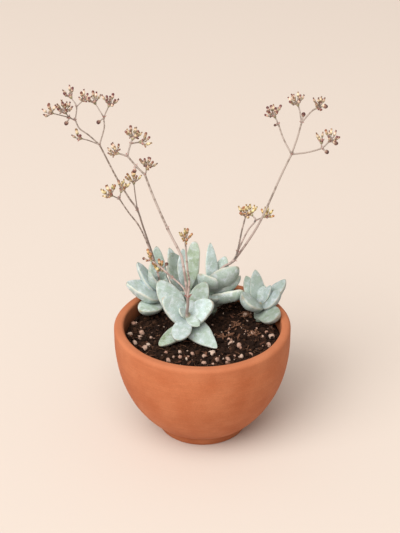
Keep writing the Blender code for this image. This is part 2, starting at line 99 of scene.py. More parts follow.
def settle(tree: bpy.types.NodeTree, node: bpy.types.Node, settings: dict) -> None:
    """Sets a node's inputs and its own properties.

    Args:
        tree: the node tree that it is in.
        node: the node.
        settings: numbers, hex colours or outputs by input name or number, or values by property.
    """
    for key, value in settings.items():
        if isinstance(value, Socket):
            tree.links.new(value, node.inputs[key])
        elif isinstance(key, str) and hasattr(node, key):
            setattr(node, key, value)
        else:
            node.inputs[key].default_value = linear(value) if isinstance(value, str) else value


def add_node(tree: bpy.types.NodeTree, kind: str, settings: dict, stops: tuple = ()) -> bpy.types.Node:
    """Adds one node.

    Args:
        tree: the material's node tree.
        kind: the node's type, without its ShaderNode prefix.
        settings: what its inputs and properties are, as settle takes them.
        stops: a colour ramp's places and hex colours.

    Returns:
        The new node.
    """
    node = tree.nodes.new("ShaderNode" + kind)
    settle(tree, node, settings)
    for number, (place, colour) in enumerate(stops):
        ramp = node.color_ramp.elements
        element = ramp[number] if number < len(ramp) else ramp.new(place)
        element.position = place
        element.color = linear(colour)
    return node


@dataclass(frozen=True)
class Nodes:
    """A material's node tree, with the few steps that the finishes are mixed by.

    A colour is a hex value or an output, and an amount is a number or an output.
    """

    tree: bpy.types.NodeTree

    def place(self, squeeze: Triple | None = None) -> Socket:
        """The object's own coordinates in metres, or those coordinates squeezed along their axes.

        Args:
            squeeze: the scale along each axis, if any.

        Returns:
            The coordinates.
        """
        own = add_node(self.tree, "TexCoord", {}).outputs["Object"]
        if squeeze is None:
            return own
        return add_node(self.tree, "Mapping", {"Vector": own, "Scale": squeeze}).outputs[0]

    def mark(self, name: str) -> Socket:
        """One of the marks that the mesh carries."""
        return add_node(self.tree, "Attribute", {"attribute_name": name}).outputs["Fac"]

    def speckle(
        self, size: float, detail: float, roughness: float = 0.5, squeeze: Triple | None = None
    ) -> Socket:
        """Adds a noise.

        Args:
            size: how far apart its features are, in millimetres.
            detail: how many finer layers it has.
            roughness: how strong those layers are.
            squeeze: how its coordinates are squeezed, which draws it out.

        Returns:
            The noise, from 0 to 1.
        """
        settings = {"Scale": per_mm(size), "Detail": detail, "Roughness": roughness}
        place = {"Vector": self.place(squeeze)}
        return add_node(self.tree, "TexNoise", settings | place).outputs["Fac"]

    def combine(self, operation: str, *values: object, clamp: bool = False) -> Socket:
        """Works out one amount from others.

        Args:
            operation: the Math node's operation.
            values: the amounts that it works on, in order.
            clamp: whether the result stays between 0 and 1.

        Returns:
            The result.
        """
        settings = {"operation": operation, "use_clamp": clamp, **dict(enumerate(values))}
        return add_node(self.tree, "Math", settings).outputs[0]

    def stretch(self, value: Socket, span: Span = FULL_SPAN, result: Span = FULL_SPAN) -> Socket:
        """Stretches a value so that a span of it becomes another span, and holds it there beyond them.

        Args:
            value: the amount to stretch.
            span: the span that it has.
            result: the span that it gets.

        Returns:
            The result.
        """
        ends = {"From Min": span[0], "From Max": span[1], "To Min": result[0], "To Max": result[1]}
        return add_node(self.tree, "MapRange", {"Value": value, **ends}).outputs[0]

    def mix(self, factor: object, first: object, second: object, blend: str = "MIX") -> Socket:
        """Mixes two colours.

        Args:
            factor: how much of the second colour is taken.
            first: the colour at a factor of 0.
            second: the colour at a factor of 1.
            blend: the Mix node's blend type.

        Returns:
            The mixed colour.
        """
        inputs = {MIX_FACTOR: factor, MIX_A: first, MIX_B: second}
        settings = {"data_type": "RGBA", "blend_type": blend, **inputs}
        return add_node(self.tree, "Mix", settings).outputs[MIX_OUT]

    def shade(self, colour: object, amount: Socket) -> Socket:
        """Multiplies all three channels of a colour by an amount, which leaves its hue alone.

        Args:
            colour: the colour, or the socket that gives it.
            amount: the amount.

        Returns:
            The new colour.
        """
        channels = {channel: amount for channel in ("Red", "Green", "Blue")}
        grey = add_node(self.tree, "CombineColor", channels).outputs[0]
        return self.mix(1.0, colour, grey, "MULTIPLY")


@dataclass(frozen=True)
class Finish:
    """What every finish shares: a name, one shader, and the numbers that are the same all over."""

    constants: ClassVar[dict[str, object]] = {}

    name: str
    roughness: float
    bump: float = 0.2
    relief: float = 0.15

    def paint(self, nodes: Nodes) -> tuple[object, Socket | None]:
        """The surface's colour and its relief from 0 to 1, which each finish mixes its own way."""
        raise NotImplementedError

    def build(self) -> bpy.types.Material:
        """Makes the material.

        Returns:
            The material.
        """
        material = bpy.data.materials.new(self.name)
        material.use_nodes = True
        tree = material.node_tree
        colour, height = self.paint(Nodes(tree))
        settings = {"Roughness": self.roughness, "Base Color": colour, **self.constants}
        if height is not None:
            steps = {"Strength": self.bump, "Distance": self.relief * MM, "Height": height}
            settings["Normal"] = add_node(tree, "Bump", steps).outputs["Normal"]
        settle(tree, tree.nodes["Principled BSDF"], settings)
        return material


@dataclass(frozen=True)
class Terracotta(Finish):
    """Unglazed earthenware, turned on a wheel: matt and a little cloudy, with grog and turning lines."""

    constants: ClassVar[dict[str, object]] = {"Specular IOR Level": 0.3}

    clay: str = "#B2663F"
    pale: str = "#BB7650"
    deep: str = "#A05530"
    # Darkens the inside wall: partly soil stain, partly painted shade inside the bowl.
    stain_and_shade: str = "#4D2A1A"
    worn: str = "#B0704F"
    worn_share: float = 0.5
    # Painted shade: the foot, under the belly's overhang, is painted darker by this factor.
    foot_painted_shade: float = 0.87
    evenness: float = 0.55
    cloud: float = 17.0
    cloud_span: Span = (0.35, 0.65)
    grog: float = 0.55
    grog_shade: Span = (0.85, 1.13)
    line: float = 1.1
    line_squeeze: Triple = (0.04, 0.04, 1.0)
    line_shade: Span = (0.95, 1.04)

    def paint(self, nodes: Nodes) -> tuple[Socket, Socket]:
        """Clouds break up the large bowl, lines tell of the wheel, and the lip is rubbed paler. The foot is
        painted darker as shade, and the inside wall darker as soil stain and painted shade.

        Args:
            nodes: the material's nodes, to which this adds.

        Returns:
            The colour and the relief.
        """
        cloud = nodes.stretch(nodes.speckle(self.cloud, detail=5.0, roughness=0.55), self.cloud_span)
        colour = nodes.mix(self.evenness, nodes.mix(cloud, self.deep, self.pale), self.clay)
        lines = nodes.speckle(self.line, detail=3.0, squeeze=self.line_squeeze)
        grain = nodes.speckle(self.grog, detail=3.0, roughness=0.7)
        streaks = nodes.stretch(lines, NOISE_SPAN, self.line_shade)
        specks = nodes.stretch(grain, NOISE_SPAN, self.grog_shade)
        colour = nodes.shade(colour, nodes.combine("MULTIPLY", streaks, specks))
        colour = nodes.mix(nodes.combine("MULTIPLY", nodes.mark("rub"), self.worn_share), colour, self.worn)
        # Painted shade: the foot is darker, as it sits in the shade under the belly.
        colour = nodes.shade(colour, nodes.stretch(nodes.mark("tint"), result=(1.0, self.foot_painted_shade)))
        # The inside wall is darker: partly soil stain, partly painted shade.
        soiled_and_shaded = nodes.combine("MULTIPLY", nodes.mark("margin"), cloud)
        return nodes.mix(soiled_and_shaded, colour, self.stain_and_shade), nodes.combine("ADD", grain, lines)


@dataclass(frozen=True)
class WaxedLeaf(Finish):
    """A succulent's skin under pale powdery wax, rubbed through to green in places.

    The wear, thinness and graininess are each a factor and an addend that turn a noise into bare skin.
    """

    constants: ClassVar[dict[str, object]] = {
        "Subsurface Weight": 0.12, "Subsurface Radius": (0.9, 1.0, 0.6), "Subsurface Scale": 1.2 * MM,
        "Specular IOR Level": 0.35, "Sheen Weight": 0.12, "Sheen Roughness": 0.6,
    }

    bluish: str = "#AABBBE"
    greenish: str = "#A0B19C"
    skin: str = "#72825F"
    cream: str = "#CFCDBE"
    cream_share: float = 1.5
    tip: str = "#937854"
    tip_span: Span = (0.965, 0.998)
    tip_share: float = 0.5
    frost: str = "#CDD4DC"
    frost_share: float = 0.62
    frost_patch: float = 3.2
    frost_span: Span = (0.48, 0.66)
    patch: float = 5.0
    powder: float = 0.45
    pore: float = 1.05
    pore_randomness: float = 0.9
    pore_span: Span = (0.16, 0.34)
    pore_share: float = 0.26
    wear: Span = (2.2, -0.9)
    thinness: Span = (1.1, -0.4)
    graininess: Span = (0.7, -0.35)
    # Painted light and shade: each leaf is painted from brightest to darkest by its shade mark, for how much
    # light falls on it.
    brightest: float = 1.22
    darkest: float = 0.62
    # Painted shade: leaves are darkened towards their base, where the crevices between them are.
    crevice: float = 0.45
    crevice_shade: float = 0.5
    powder_relief: float = 0.5

    def paint(self, nodes: Nodes) -> tuple[Socket, Socket]:
        """Wax of two hues, frosted and rubbed bare in patches, with pores, cream margins and dry tips, and
        painted light and shade on each leaf and painted shade in the crevices at their bases.

        Args:
            nodes: the material's nodes, to which this adds.

        Returns:
            The colour and the relief.
        """
        patch = nodes.speckle(self.patch, detail=4.0, roughness=0.6)
        powder = nodes.speckle(self.powder, detail=2.0, roughness=0.8)
        wax = nodes.mix(nodes.mark("green"), self.bluish, self.greenish)
        worn = nodes.combine("MULTIPLY_ADD", patch, *self.wear)
        rubbed = nodes.combine("MULTIPLY", worn, nodes.mark("rub"), clamp=True)
        thin = nodes.combine("MULTIPLY_ADD", patch, *self.thinness)
        grainy = nodes.combine("MULTIPLY_ADD", powder, *self.graininess)
        bare = nodes.combine("ADD", nodes.combine("ADD", thin, grainy), rubbed, clamp=True)
        colour = nodes.mix(bare, wax, self.skin)
        frost = nodes.speckle(self.frost_patch, detail=5.0, roughness=0.65)
        frosted = nodes.stretch(frost, self.frost_span, (0.0, self.frost_share))
        colour = nodes.mix(frosted, colour, self.frost)
        cells = {"Scale": per_mm(self.pore), "Randomness": self.pore_randomness, "Vector": nodes.place()}
        pores = add_node(nodes.tree, "TexVoronoi", cells).outputs["Distance"]
        colour = nodes.mix(nodes.stretch(pores, self.pore_span, (self.pore_share, 0.0)), colour, self.skin)
        edge = nodes.combine("MULTIPLY", nodes.mark("margin"), powder, clamp=True)
        colour = nodes.mix(nodes.combine("MULTIPLY", edge, self.cream_share, clamp=True), colour, self.cream)
        along = nodes.mark("along")
        colour = nodes.mix(nodes.stretch(along, self.tip_span, (0.0, self.tip_share)), colour, self.tip)
        # Painted light and shade: each leaf is lighter or darker by its own shade mark.
        light = nodes.stretch(nodes.mark("tint"), result=(self.brightest, self.darkest))
        # Painted shade: darker towards the leaf's base, in the crevices between leaves.
        depth = nodes.stretch(along, (0.0, self.crevice), (self.crevice_shade, 1.0))
        colour = nodes.shade(nodes.shade(colour, light), depth)
        return colour, nodes.combine("MULTIPLY_ADD", powder, self.powder_relief, pores)


@dataclass(frozen=True)
class StalkSkin(Finish):
    """The skin of a drying flower stalk: waxy and pink low down, greyer above, finely streaked."""

    constants: ClassVar[dict[str, object]] = {"Specular IOR Level": 0.3, "Sheen Weight": 0.15}

    low: str = "#AE9A93"
    high: str = "#A0938A"
    dark: str = "#7D6C64"
    low_height: float = 85.0
    high_height: float = 150.0
    streak: float = 0.5
    streak_squeeze: Triple = (1.0, 1.0, 0.2)
    streak_span: Span = (0.5, 0.75)
    streak_depth: float = 0.12

    def paint(self, nodes: Nodes) -> tuple[Socket, Socket]:
        """The colour changes up the stalk, and small flecks keep it from looking like plastic.

        Args:
            nodes: the material's nodes, to which this adds.

        Returns:
            The colour and the relief.
        """
        height = add_node(nodes.tree, "SeparateXYZ", {"Vector": nodes.place()}).outputs["Z"]
        climb = nodes.stretch(height, (self.low_height * MM, self.high_height * MM))
        streak = nodes.speckle(self.streak, detail=4.0, squeeze=self.streak_squeeze)
        flecks = nodes.stretch(streak, self.streak_span, (0.0, self.streak_depth))
        return nodes.mix(flecks, nodes.mix(climb, self.low, self.high), self.dark), streak


@dataclass(frozen=True)
class FlowerSkin(Finish):
    """A small flower's skin, which changes from its base to its tip and from a maroon bunch to a golden one.

    Each bunch has a base, a middle and a tip colour, and the stops are how far up the flower they are. A
    finish without golden colours is the same in every bunch.
    """

    constants: ClassVar[dict[str, object]] = {
        "Specular IOR Level": 0.4, "Subsurface Weight": 0.05, "Subsurface Scale": 0.4 * MM,
    }

    maroon: Colours = ("#ADA68E", "#DABFAA", "#784845")
    golden: Colours | None = None
    stops: Triple = (0.12, 0.58, 0.88)
    blotch: float = 0.7
    spread: Span = (0.3, -0.15)
    darkest: float = 0.86
    brightest: float = 1.2

    def paint(self, nodes: Nodes) -> tuple[Socket, Socket]:
        """The dark tips and pale middles are what the eye reads as a bunch of flowers.

        Args:
            nodes: the material's nodes, to which this adds.

        Returns:
            The colour and the relief.
        """
        blotch = nodes.speckle(self.blotch, detail=3.0)
        spread = nodes.combine("MULTIPLY_ADD", blotch, *self.spread)
        along = nodes.combine("ADD", nodes.mark("along"), spread)
        ramps = []
        for colours in (self.maroon, self.golden or self.maroon):
            ramp = add_node(nodes.tree, "ValToRGB", {"Fac": along}, tuple(zip(self.stops, colours)))
            ramps.append(ramp.outputs["Color"])
        colour = nodes.mix(nodes.mark("green"), *ramps)
        light = nodes.stretch(nodes.mark("tint"), result=(self.darkest, self.brightest))
        return nodes.shade(colour, light), blotch


@dataclass(frozen=True)
class EarthCrumb(Finish):
    """Something loose from the soil, in two colours that each crumb mixes its own way."""

    constants: ClassVar[dict[str, object]] = {"Specular IOR Level": 0.15}

    first: str = "#1B100B"
    second: str = "#402A1D"
    dust: str = "#110906"
    dust_span: Span = (0.52, 0.66)
    dust_share: float = 0.7
    grain: float = 0.5

    def paint(self, nodes: Nodes) -> tuple[Socket, Socket]:
        """No shine, and every crumb its own depth of colour.

        Args:
            nodes: the material's nodes, to which this adds.

        Returns:
            The colour and the relief.
        """
        grain = nodes.speckle(self.grain, detail=4.0, roughness=0.7)
        colour = nodes.mix(nodes.mark("tint"), self.first, self.second)
        dusty = nodes.stretch(grain, self.dust_span, (0.0, self.dust_share))
        return nodes.mix(dusty, colour, self.dust), grain


@dataclass(frozen=True)
class BackdropPaper(Finish):
    """A sweep of matt studio paper in a pale warm peach."""

    constants: ClassVar[dict[str, object]] = {"Specular IOR Level": 0.1}

    colour: str = "#D0C6BD"

    def paint(self, nodes: Nodes) -> tuple[str, None]:
        """One even colour without relief, which takes the soft shadow."""
        return self.colour, None


class Finishes:
    """Every finish of the object, built once and shared."""

    def __init__(self) -> None:
        """Builds the materials."""
        # The bowl's orange clay, whose even matt surface carries the soft light round its belly.
        self.clay = Terracotta("unglazed_terracotta", 0.8, bump=0.25, relief=0.12).build()
        # The leaves' cool pale bloom, the largest cool area against the warm paper.
        self.leaf = WaxedLeaf("waxed_succulent_leaf", 0.6, bump=0.22, relief=0.12).build()
        # The stalks' dusty pink and grey, quiet lines that lead up to the flowers.
        self.stalk = StalkSkin("drying_flower_stalk", 0.6, bump=0.25, relief=0.1).build()
        # Closing petals: pale sides that end in a small dark tip.
        self.petal = FlowerSkin("withering_petal", 0.55, golden=("#AEA867", "#D9CA95", "#BA9D64")).build()
        # Club-shaped flowers with a larger and darker head, the strongest accents of a bunch.
        self.bud = FlowerSkin(
            "maroon_bud", 0.42, maroon=("#A9A08B", "#CFB09F", "#66383A"),
            golden=("#AFA269", "#DABD86", "#A37150"), stops=(0.1, 0.45, 0.78),
        ).build()
        # Round single buds: greyish pink where they hang on, and dusky maroon at their far end.
        self.egg = FlowerSkin(
            "dusky_round_bud", 0.5, maroon=("#B09A8C", "#9A796C", "#4F2D2B"), stops=(0.05, 0.4, 0.78)
        ).build()
        # The green cups under the flowers, which keep a bunch fresh at its heart.
        self.calyx = FlowerSkin(
            "olive_calyx", 0.55, maroon=("#989376", "#B5AB91", "#B69884"),
            golden=("#96845A", "#B29B69", "#BA9E6C"),
        ).build()
        # Papery scales at the forks, a pinker brown than the stalks.
        self.bract = FlowerSkin("pinkish_bract", 0.6, maroon=("#AB9186", "#B78C85", "#8A5650")).build()
        # Dark moist peat, the deepest tone of the picture.
        self.peat = EarthCrumb("moist_peat", 0.95, bump=0.6, relief=0.5).build()
        # Pale pinkish stones that sparkle against the peat.
        self.pumice = EarthCrumb(
            "pumice_grit", 0.9, bump=0.5, relief=0.3,
            first="#A17C6B", second="#C5B2A2", dust="#795848", grain=0.7,
        ).build()
        # Reddish brown fibres and bark, halfway between the peat and the stones.
        self.coir = EarthCrumb(
            "coir_fibre", 0.8, bump=0.3, relief=0.1,
            first="#4E3125", second="#86614B", dust="#331E15", grain=0.6,
        ).build()


def new_part(*marks: str) -> bmesh.types.BMesh:
    """Starts a mesh that carries these marks.

    Args:
        marks: names of the numbers that each vertex carries.

    Returns:
        The empty mesh.
    """
    bm = bmesh.new()
    for name in marks:
        bm.verts.layers.float.new(name)
    return bm


def in_metres(bm: bmesh.types.BMesh) -> None:
    """Brings a part from millimetres to metres."""
    bmesh.ops.scale(bm, vec=(MM, MM, MM), verts=bm.verts)


def as_mesh(bm: bmesh.types.BMesh, name: str) -> bpy.types.Mesh:
    """Turns a finished part into a mesh of this name, and frees the part.

    Args:
        bm: the finished part.
        name: the mesh's name.

    Returns:
        The mesh.
    """
    mesh = bpy.data.meshes.new(name)
    bm.to_mesh(mesh)
    bm.free()
    return mesh


def as_template(bm: bmesh.types.BMesh, smooth: bool = True) -> bpy.types.Mesh:
    """Turns a finished part into a mesh that can be copied many times.

    Args:
        bm: the part, which is freed.
        smooth: whether its faces are shaded smooth.

    Returns:
        The mesh, in millimetres.
    """
    for face in bm.faces:
        face.smooth = smooth
    return as_mesh(bm, "template")


def put_in_scene(name: str, data: bpy.types.ID) -> bpy.types.Object:
    """Makes a scene object, at the origin, from a mesh, a light or a camera.

    Args:
        name: the object's name.
        data: the mesh, light or camera.

    Returns:
        The object.
    """
    thing = bpy.data.objects.new(name, data)
    bpy.context.scene.collection.objects.link(thing)
    return thing


class Assembly:
    """A piece that grows out of many parts, each with its own place, finish and marks."""

    def __init__(self, name: str, slot: str, *replaces: str) -> None:
        """Starts an empty piece.

        Args:
            name: the piece's name.
            slot: the record's material slot, which is stored but not used.
            replaces: the CAD nodes that the piece stands for.
        """
        self.name = name
        self.slot = slot
        self.replaces = replaces
        self.finishes: list[bpy.types.Material] = []
        self.bm = new_part(*MARKS)

    def add(
        self, part: bpy.types.Mesh, finish: bpy.types.Material, place: Matrix | None = None, **marks: float
    ) -> None:
        """Adds a copy of a part.

        Args:
            part: the mesh to copy.
            finish: what it is made of.
            place: where it goes, in millimetres.
            marks: marks that are the same all over it.
        """
        copy = part.copy()
        if place is not None:
            copy.transform(place)
        for name, value in marks.items():
            layer = copy.attributes.get(name) or copy.attributes.new(name, "FLOAT", "POINT")
            layer.data.foreach_set("value", [value] * len(copy.vertices))
        if finish not in self.finishes:
            self.finishes.append(finish)
        number = self.finishes.index(finish)
        copy.polygons.foreach_set("material_index", [number] * len(copy.polygons))
        self.bm.from_mesh(copy)
        bpy.data.meshes.remove(copy)

    def finish(self) -> bpy.types.Object:
        """Makes the scene object and ties it to the frame.

        Returns:
            The finished piece, at the origin.
        """
        in_metres(self.bm)
        mesh = as_mesh(self.bm, self.name)
        for finish in self.finishes:
            mesh.materials.append(finish)
        piece = put_in_scene(self.name, mesh)
        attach(piece, BODY)
        if self.replaces:
            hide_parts(*self.replaces)
        log.info("%s: %d faces", self.name, len(mesh.polygons))
        return piece


def smooth_path(points: tuple[Vector, ...], spacing: float) -> list[Vector]:
    """A smooth line through points, by Catmull and Rom's formula.

    Args:
        points: the points to pass through.
        spacing: about how far apart the new points are.

    Returns:
        The new points, from the first point to the last.
    """
    ends = [points[0] * 2 - points[1], *points, points[-1] * 2 - points[-2]]
    path = [points[0]]
    for a, b, c, d in zip(ends, ends[1:], ends[2:], ends[3:]):
        steps = max(2, round((c - b).length / spacing))
        for step in range(1, steps + 1):
            t = step / steps
            bend = (2 * a - 5 * b + 4 * c - d) * t**2 + (3 * b - a - 3 * c + d) * t**3
            path.append((2 * b + (c - a) * t + bend) / 2)
    return path


def carried_frames(path: list[Vector]) -> list[Matrix]:
    """A frame at each point of a path, its Z along the path, that turns as little as it can.

    Args:
        path: the points, at least two.

    Returns:
        One frame for each point.
    """
    frames = []
    side = (path[1] - path[0]).orthogonal().normalized()
    for number, point in enumerate(path):
        along = (path[min(number + 1, len(path) - 1)] - path[max(number - 1, 0)]).normalized()
        side = (side - side.dot(along) * along).normalized()
        turn = Matrix((side, along.cross(side), along)).transposed().to_4x4()
        frames.append(Matrix.Translation(point) @ turn)
    return frames


def upright(along: Vector) -> Matrix:
    """The turn that points +Z along a direction."""
    return along.to_track_quat("Z", "Y").to_matrix().to_4x4()


def extruded(bm: bmesh.types.BMesh, end: bmesh.types.BMFace) -> bmesh.types.BMFace:
    """Extrudes the end face of a part, and gives the new end."""
    grown = bmesh.ops.extrude_face_region(bm, geom=[end])["geom"]
    return next(part for part in grown if isinstance(part, bmesh.types.BMFace))


def sweep(path: list[Vector], radii: list[float], sides: int) -> bpy.types.Mesh:
    """Extrudes a round end along a path, closed at both ends.

    Args:
        path: the points to follow.
        radii: the radius at each point.
        sides: how many sides the ring has.

    Returns:
        The tube, with its share of the way marked as along.
    """
    bm = new_part("along")
    share = bm.verts.layers.float["along"]
    frames = carried_frames(path)
    bmesh.ops.create_circle(bm, cap_ends=True, segments=sides, radius=radii[0], matrix=frames[0])
    end = next(iter(bm.faces))
    for number in range(1, len(path)):
        end = extruded(bm, end)
        wider = Matrix.Scale(radii[number] / radii[number - 1], 4)
        move = frames[number] @ wider @ frames[number - 1].inverted()
        bmesh.ops.transform(bm, matrix=move, verts=end.verts)
        for vert in end.verts:
            vert[share] = number / (len(path) - 1)
    bmesh.ops.recalc_face_normals(bm, faces=bm.faces)
    return as_template(bm)


def spaced(start: float, end: float, steps: int) -> list[float]:
    """Evenly spaced values, from the first one after the start to the end."""
    return [start + (end - start) * step / steps for step in range(1, steps + 1)]


def arc(centre: Span, radius: float, start: float, end: float, count: int) -> list[Span]:
    """Points of a section on part of a circle.

    Args:
        centre: the circle's middle, as radius and height.
        radius: the circle's radius.
        start: the first point's turn in degrees, 0 for outwards and 90 for up.
        end: the last point's turn.
        count: how many points.

    Returns:
        The points, as radius and height.
    """
    turns = [math.radians(start + (end - start) * number / (count - 1)) for number in range(count)]
    return [(centre[0] + radius * math.cos(turn), centre[1] + radius * math.sin(turn)) for turn in turns]


def spun(outline: list[Span], sides: int, *marks: str) -> bmesh.types.BMesh:
    """Spins a section round the Z axis.

    Args:
        outline: the section's points as radius and height, from the axis back to the axis.
        sides: how many steps the full turn has.
        marks: the marks that the body carries.

    Returns:
        The closed body.
    """
    bm = new_part(*marks)
    points = [bm.verts.new((radius, 0.0, height)) for radius, height in outline]
    edges = [bm.edges.new(pair) for pair in zip(points, points[1:])]
    bmesh.ops.spin(
        bm, geom=points + edges, cent=(0, 0, 0), axis=(0, 0, 1), angle=math.tau, steps=sides, use_merge=True
    )
    bmesh.ops.remove_doubles(bm, verts=bm.verts, dist=MERGE_DISTANCE)
    bmesh.ops.recalc_face_normals(bm, faces=bm.faces)
    return bm


def swell(place: Vector, layers: tuple[Span, ...]) -> float:
    """How far a surface stands out at a place: noises added up, each by its fineness and its height."""
    return sum(height * noise.noise(place * fineness) for fineness, height in layers)


def any_shift(draw: random.Random, reach: float) -> Vector:
    """A random step, of up to this reach along each axis."""
    return Vector((draw.uniform(-reach, reach), draw.uniform(-reach, reach), draw.uniform(-reach, reach)))


def any_stray(draw: random.Random, up: float = 1.0) -> Vector:
    """A random step, of about 1 along X and Y and this much along Z."""
    return Vector((draw.gauss(0, 1), draw.gauss(0, 1), draw.gauss(0, up)))


def any_size(draw: random.Random, *spans: Span) -> Matrix:
    """A random scale along X, Y and Z, each from its own span."""
    return Matrix.Diagonal((*[draw.uniform(*span) for span in spans], 1.0))


def any_turn(draw: random.Random) -> Matrix:
    """A random turn."""
    axis = any_stray(draw)
    return Matrix.Rotation(draw.uniform(0, math.tau), 4, axis.normalized())


@dataclass(frozen=True)
class Lump:
    """Irregular crumbs about 1 mm in radius: how finely divided, how rough, and how many different ones."""

    subdivisions: int
    rough: float
    variants: int
    reach: float = 50.0
    wide: Span = (0.75, 1.25)
    tall: Span = (0.6, 1.0)
    coarse: float = 1.1
    fine: float = 2.7

    def shape(self, draw: random.Random) -> bpy.types.Mesh:
        """Makes one crumb, flat-shaded where it has few faces.

        Args:
            draw: the source of its shape.

        Returns:
            The crumb.
        """
        bm = bmesh.new()
        bmesh.ops.create_icosphere(bm, subdivisions=self.subdivisions, radius=1.0)
        shift = any_shift(draw, self.reach)
        size = any_size(draw, self.wide, self.wide, self.tall)
        for vert in bm.verts:
            coarse = noise.noise(vert.co * self.coarse + shift)
            fine = noise.noise(vert.co * self.fine + shift)
            vert.co = size @ (vert.co * (1 + self.rough * (coarse + fine / 2)))
        return as_template(bm, smooth=self.subdivisions > 2)

    def shapes(self, draw: random.Random) -> list[bpy.types.Mesh]:
        """Every different crumb."""
        return [self.shape(draw) for _ in range(self.variants)]


@dataclass
class Bowl:
    """The terracotta bowl: a turned foot, a crease, a full belly, a straight neck and a rolled lip."""

    finishes: Finishes
    height: float = 73.0
    radius: float = 54.7
    belly_height: float = 62.0
    belly_depth: float = 67.5
    inner_depth: float = 59.5
    wall: float = 6.0
    foot_radius: float = 28.0
    foot_height: float = 6.5
    foot_edge: float = 0.8
    # The foot's side and the crease above it, as radius and height.
    foot_side: tuple[Span, ...] = ((28.9, 3.2), (29.3, 5.6), (30.0, 6.5), (32.2, 7.5))
    belly_start: float = 8.5
    belly_steps: int = 26
    floor: float = 7.0
    floor_round: float = 3.0
    low_inside: float = 9.0
    inner_steps: int = 16
    lip_round: float = 2.6
    inner_lip_round: float = 1.7
    drain_radius: float = 4.5
    drain_circle: float = 13.0
    drain_turns: tuple[int, ...] = (90, 210, 330)
    drain_sides: int = 32
    sides: int = 160
    near: float = 0.3
    slack: float = 0.1
    # How dark the inner wall is marked below and above the soil line, as soil stain and painted shade.
    soil_line: float = 66.5
    soiled_and_shaded: float = 0.8
    splashed_and_shaded: float = 0.35
    worn_depth: float = 4.5
    # How uneven the thrown wall is, as layers of noise.
    thrown: tuple[Span, ...] = ((0.03, 0.35), (0.11, 0.08))
    sharp_edge: float = math.radians(50)

    def curve(self, height: float, radius: float, depth: float) -> float:
        """The bowl's radius at a height: part of an ellipse below its widest line, and straight above it."""
        below = max(self.belly_height - height, 0.0)
        return radius * math.sqrt(max(1 - (below / depth) ** 2, 0.0))

    def inside(self, height: float) -> float:
        """The inner wall's radius at a height."""
        return self.curve(height, self.radius - self.wall, self.inner_depth)

    def outline(self) -> list[Span]:
        """The section's points as radius and height, up the outside and down the inside.

        Returns:
            The points, in millimetres.
        """
        foot = self.foot_radius - self.foot_edge
        points = [(0.0, 0.0), (self.foot_radius / 2, 0.0), (foot, 0.0)]
        points += arc((foot, self.foot_edge), self.foot_edge, -60, 0, 3)
        points += self.foot_side
        for height in spaced(self.belly_start, self.belly_height, self.belly_steps):
            points.append((self.curve(height, self.radius, self.belly_depth), height))
        outer, inner = self.lip_round, self.inner_lip_round
        points += arc((self.radius - outer, self.height - outer), outer, 0, 90, 9)
        points += arc((self.radius - self.wall + inner, self.height - inner), inner, 90, 180, 7)
        for height in spaced(self.height - inner, self.low_inside, self.inner_steps):
            points.append((self.inside(height), height))
        return points + [(self.inside(self.low_inside) - self.floor_round, self.floor), (0.0, self.floor)]

    def drain(self, turn: int) -> bpy.types.Object:
        """A round cutter for the drain hole at this turn.

        Args:
            turn: degrees round the bowl, from the right.

        Returns:
            The cutter, in the scene.
        """
        bm = bmesh.new()
        middle = Matrix.Rotation(math.radians(turn), 4, "Z") @ Vector((self.drain_circle, 0, self.floor / 2))
        bmesh.ops.create_cone(
            bm, cap_ends=True, segments=self.drain_sides, radius1=self.drain_radius,
            radius2=self.drain_radius, depth=self.floor * 3, matrix=Matrix.Translation(middle),
        )
        in_metres(bm)
        return put_in_scene("drain", as_mesh(bm, "drain"))

    def drill(self, bowl: bpy.types.Object) -> None:
        """Cuts the drain holes, and leaves no modifier or cutter behind.

        Args:
            bowl: the bowl without holes.
        """
        cutters = [self.drain(turn) for turn in self.drain_turns]
        for cutter in cutters:
            cut = bowl.modifiers.new("drain", "BOOLEAN")
            cut.object = cutter
            cut.operation = "DIFFERENCE"
        bpy.context.view_layer.update()
        drilled = bowl.evaluated_get(bpy.context.evaluated_depsgraph_get())
        mesh = bpy.data.meshes.new_from_object(drilled)
        bowl.modifiers.clear()
        bowl.data = mesh
        for cutter in cutters:
            bpy.data.objects.remove(cutter)

    def wear(self, bm: bmesh.types.BMesh) -> None:
        """Marks the inside wall for soil stain and painted shade, the rubbed lip, and the foot for its
        painted shade, and makes the thrown wall uneven.

        Args:
            bm: the spun bowl.
        """
        soil, rub, tint = (bm.verts.layers.float[name] for name in ("margin", "rub", "tint"))
        for vert in bm.verts:
            height = vert.co.z
            radius = math.hypot(vert.co.x, vert.co.y)
            # The inner wall is marked for its darkening, partly soil stain and partly painted shade.
            within = radius < self.inside(height) + self.near and height > self.floor - self.slack
            if within:
                vert[soil] = self.soiled_and_shaded if height < self.soil_line else self.splashed_and_shaded
            vert[rub] = clamped((height - self.height) / self.worn_depth + 1)
            # The foot is marked for its painted shade.
            vert[tint] = 1.0 if height < self.foot_height + self.slack else 0.0
            if height > self.foot_height and not within:
                wider = 1 + swell(vert.co, self.thrown) / self.radius
                vert.co.x *= wider
                vert.co.y *= wider

    def build(self) -> bpy.types.Object:
        """Spins the section and drills the drain holes.

        Returns:
            The bowl.
        """
        bm = spun(self.outline(), self.sides, "margin", "rub", "tint")
        self.wear(bm)
        assembly = Assembly("terracotta_bowl", "terracotta", "pot")
        assembly.add(as_template(bm), self.finishes.clay)
        bowl = assembly.finish()
        self.drill(bowl)
        bowl.data.set_sharp_from_angle(angle=self.sharp_edge)
        return bowl


@dataclass(frozen=True)
class Litter:
    """Loose bits on the soil: how many, their least and greatest radius, and how far from the wall."""

    count: int
    sizes: Span
    margin: float
    sink: Span = (-0.1, 0.55)


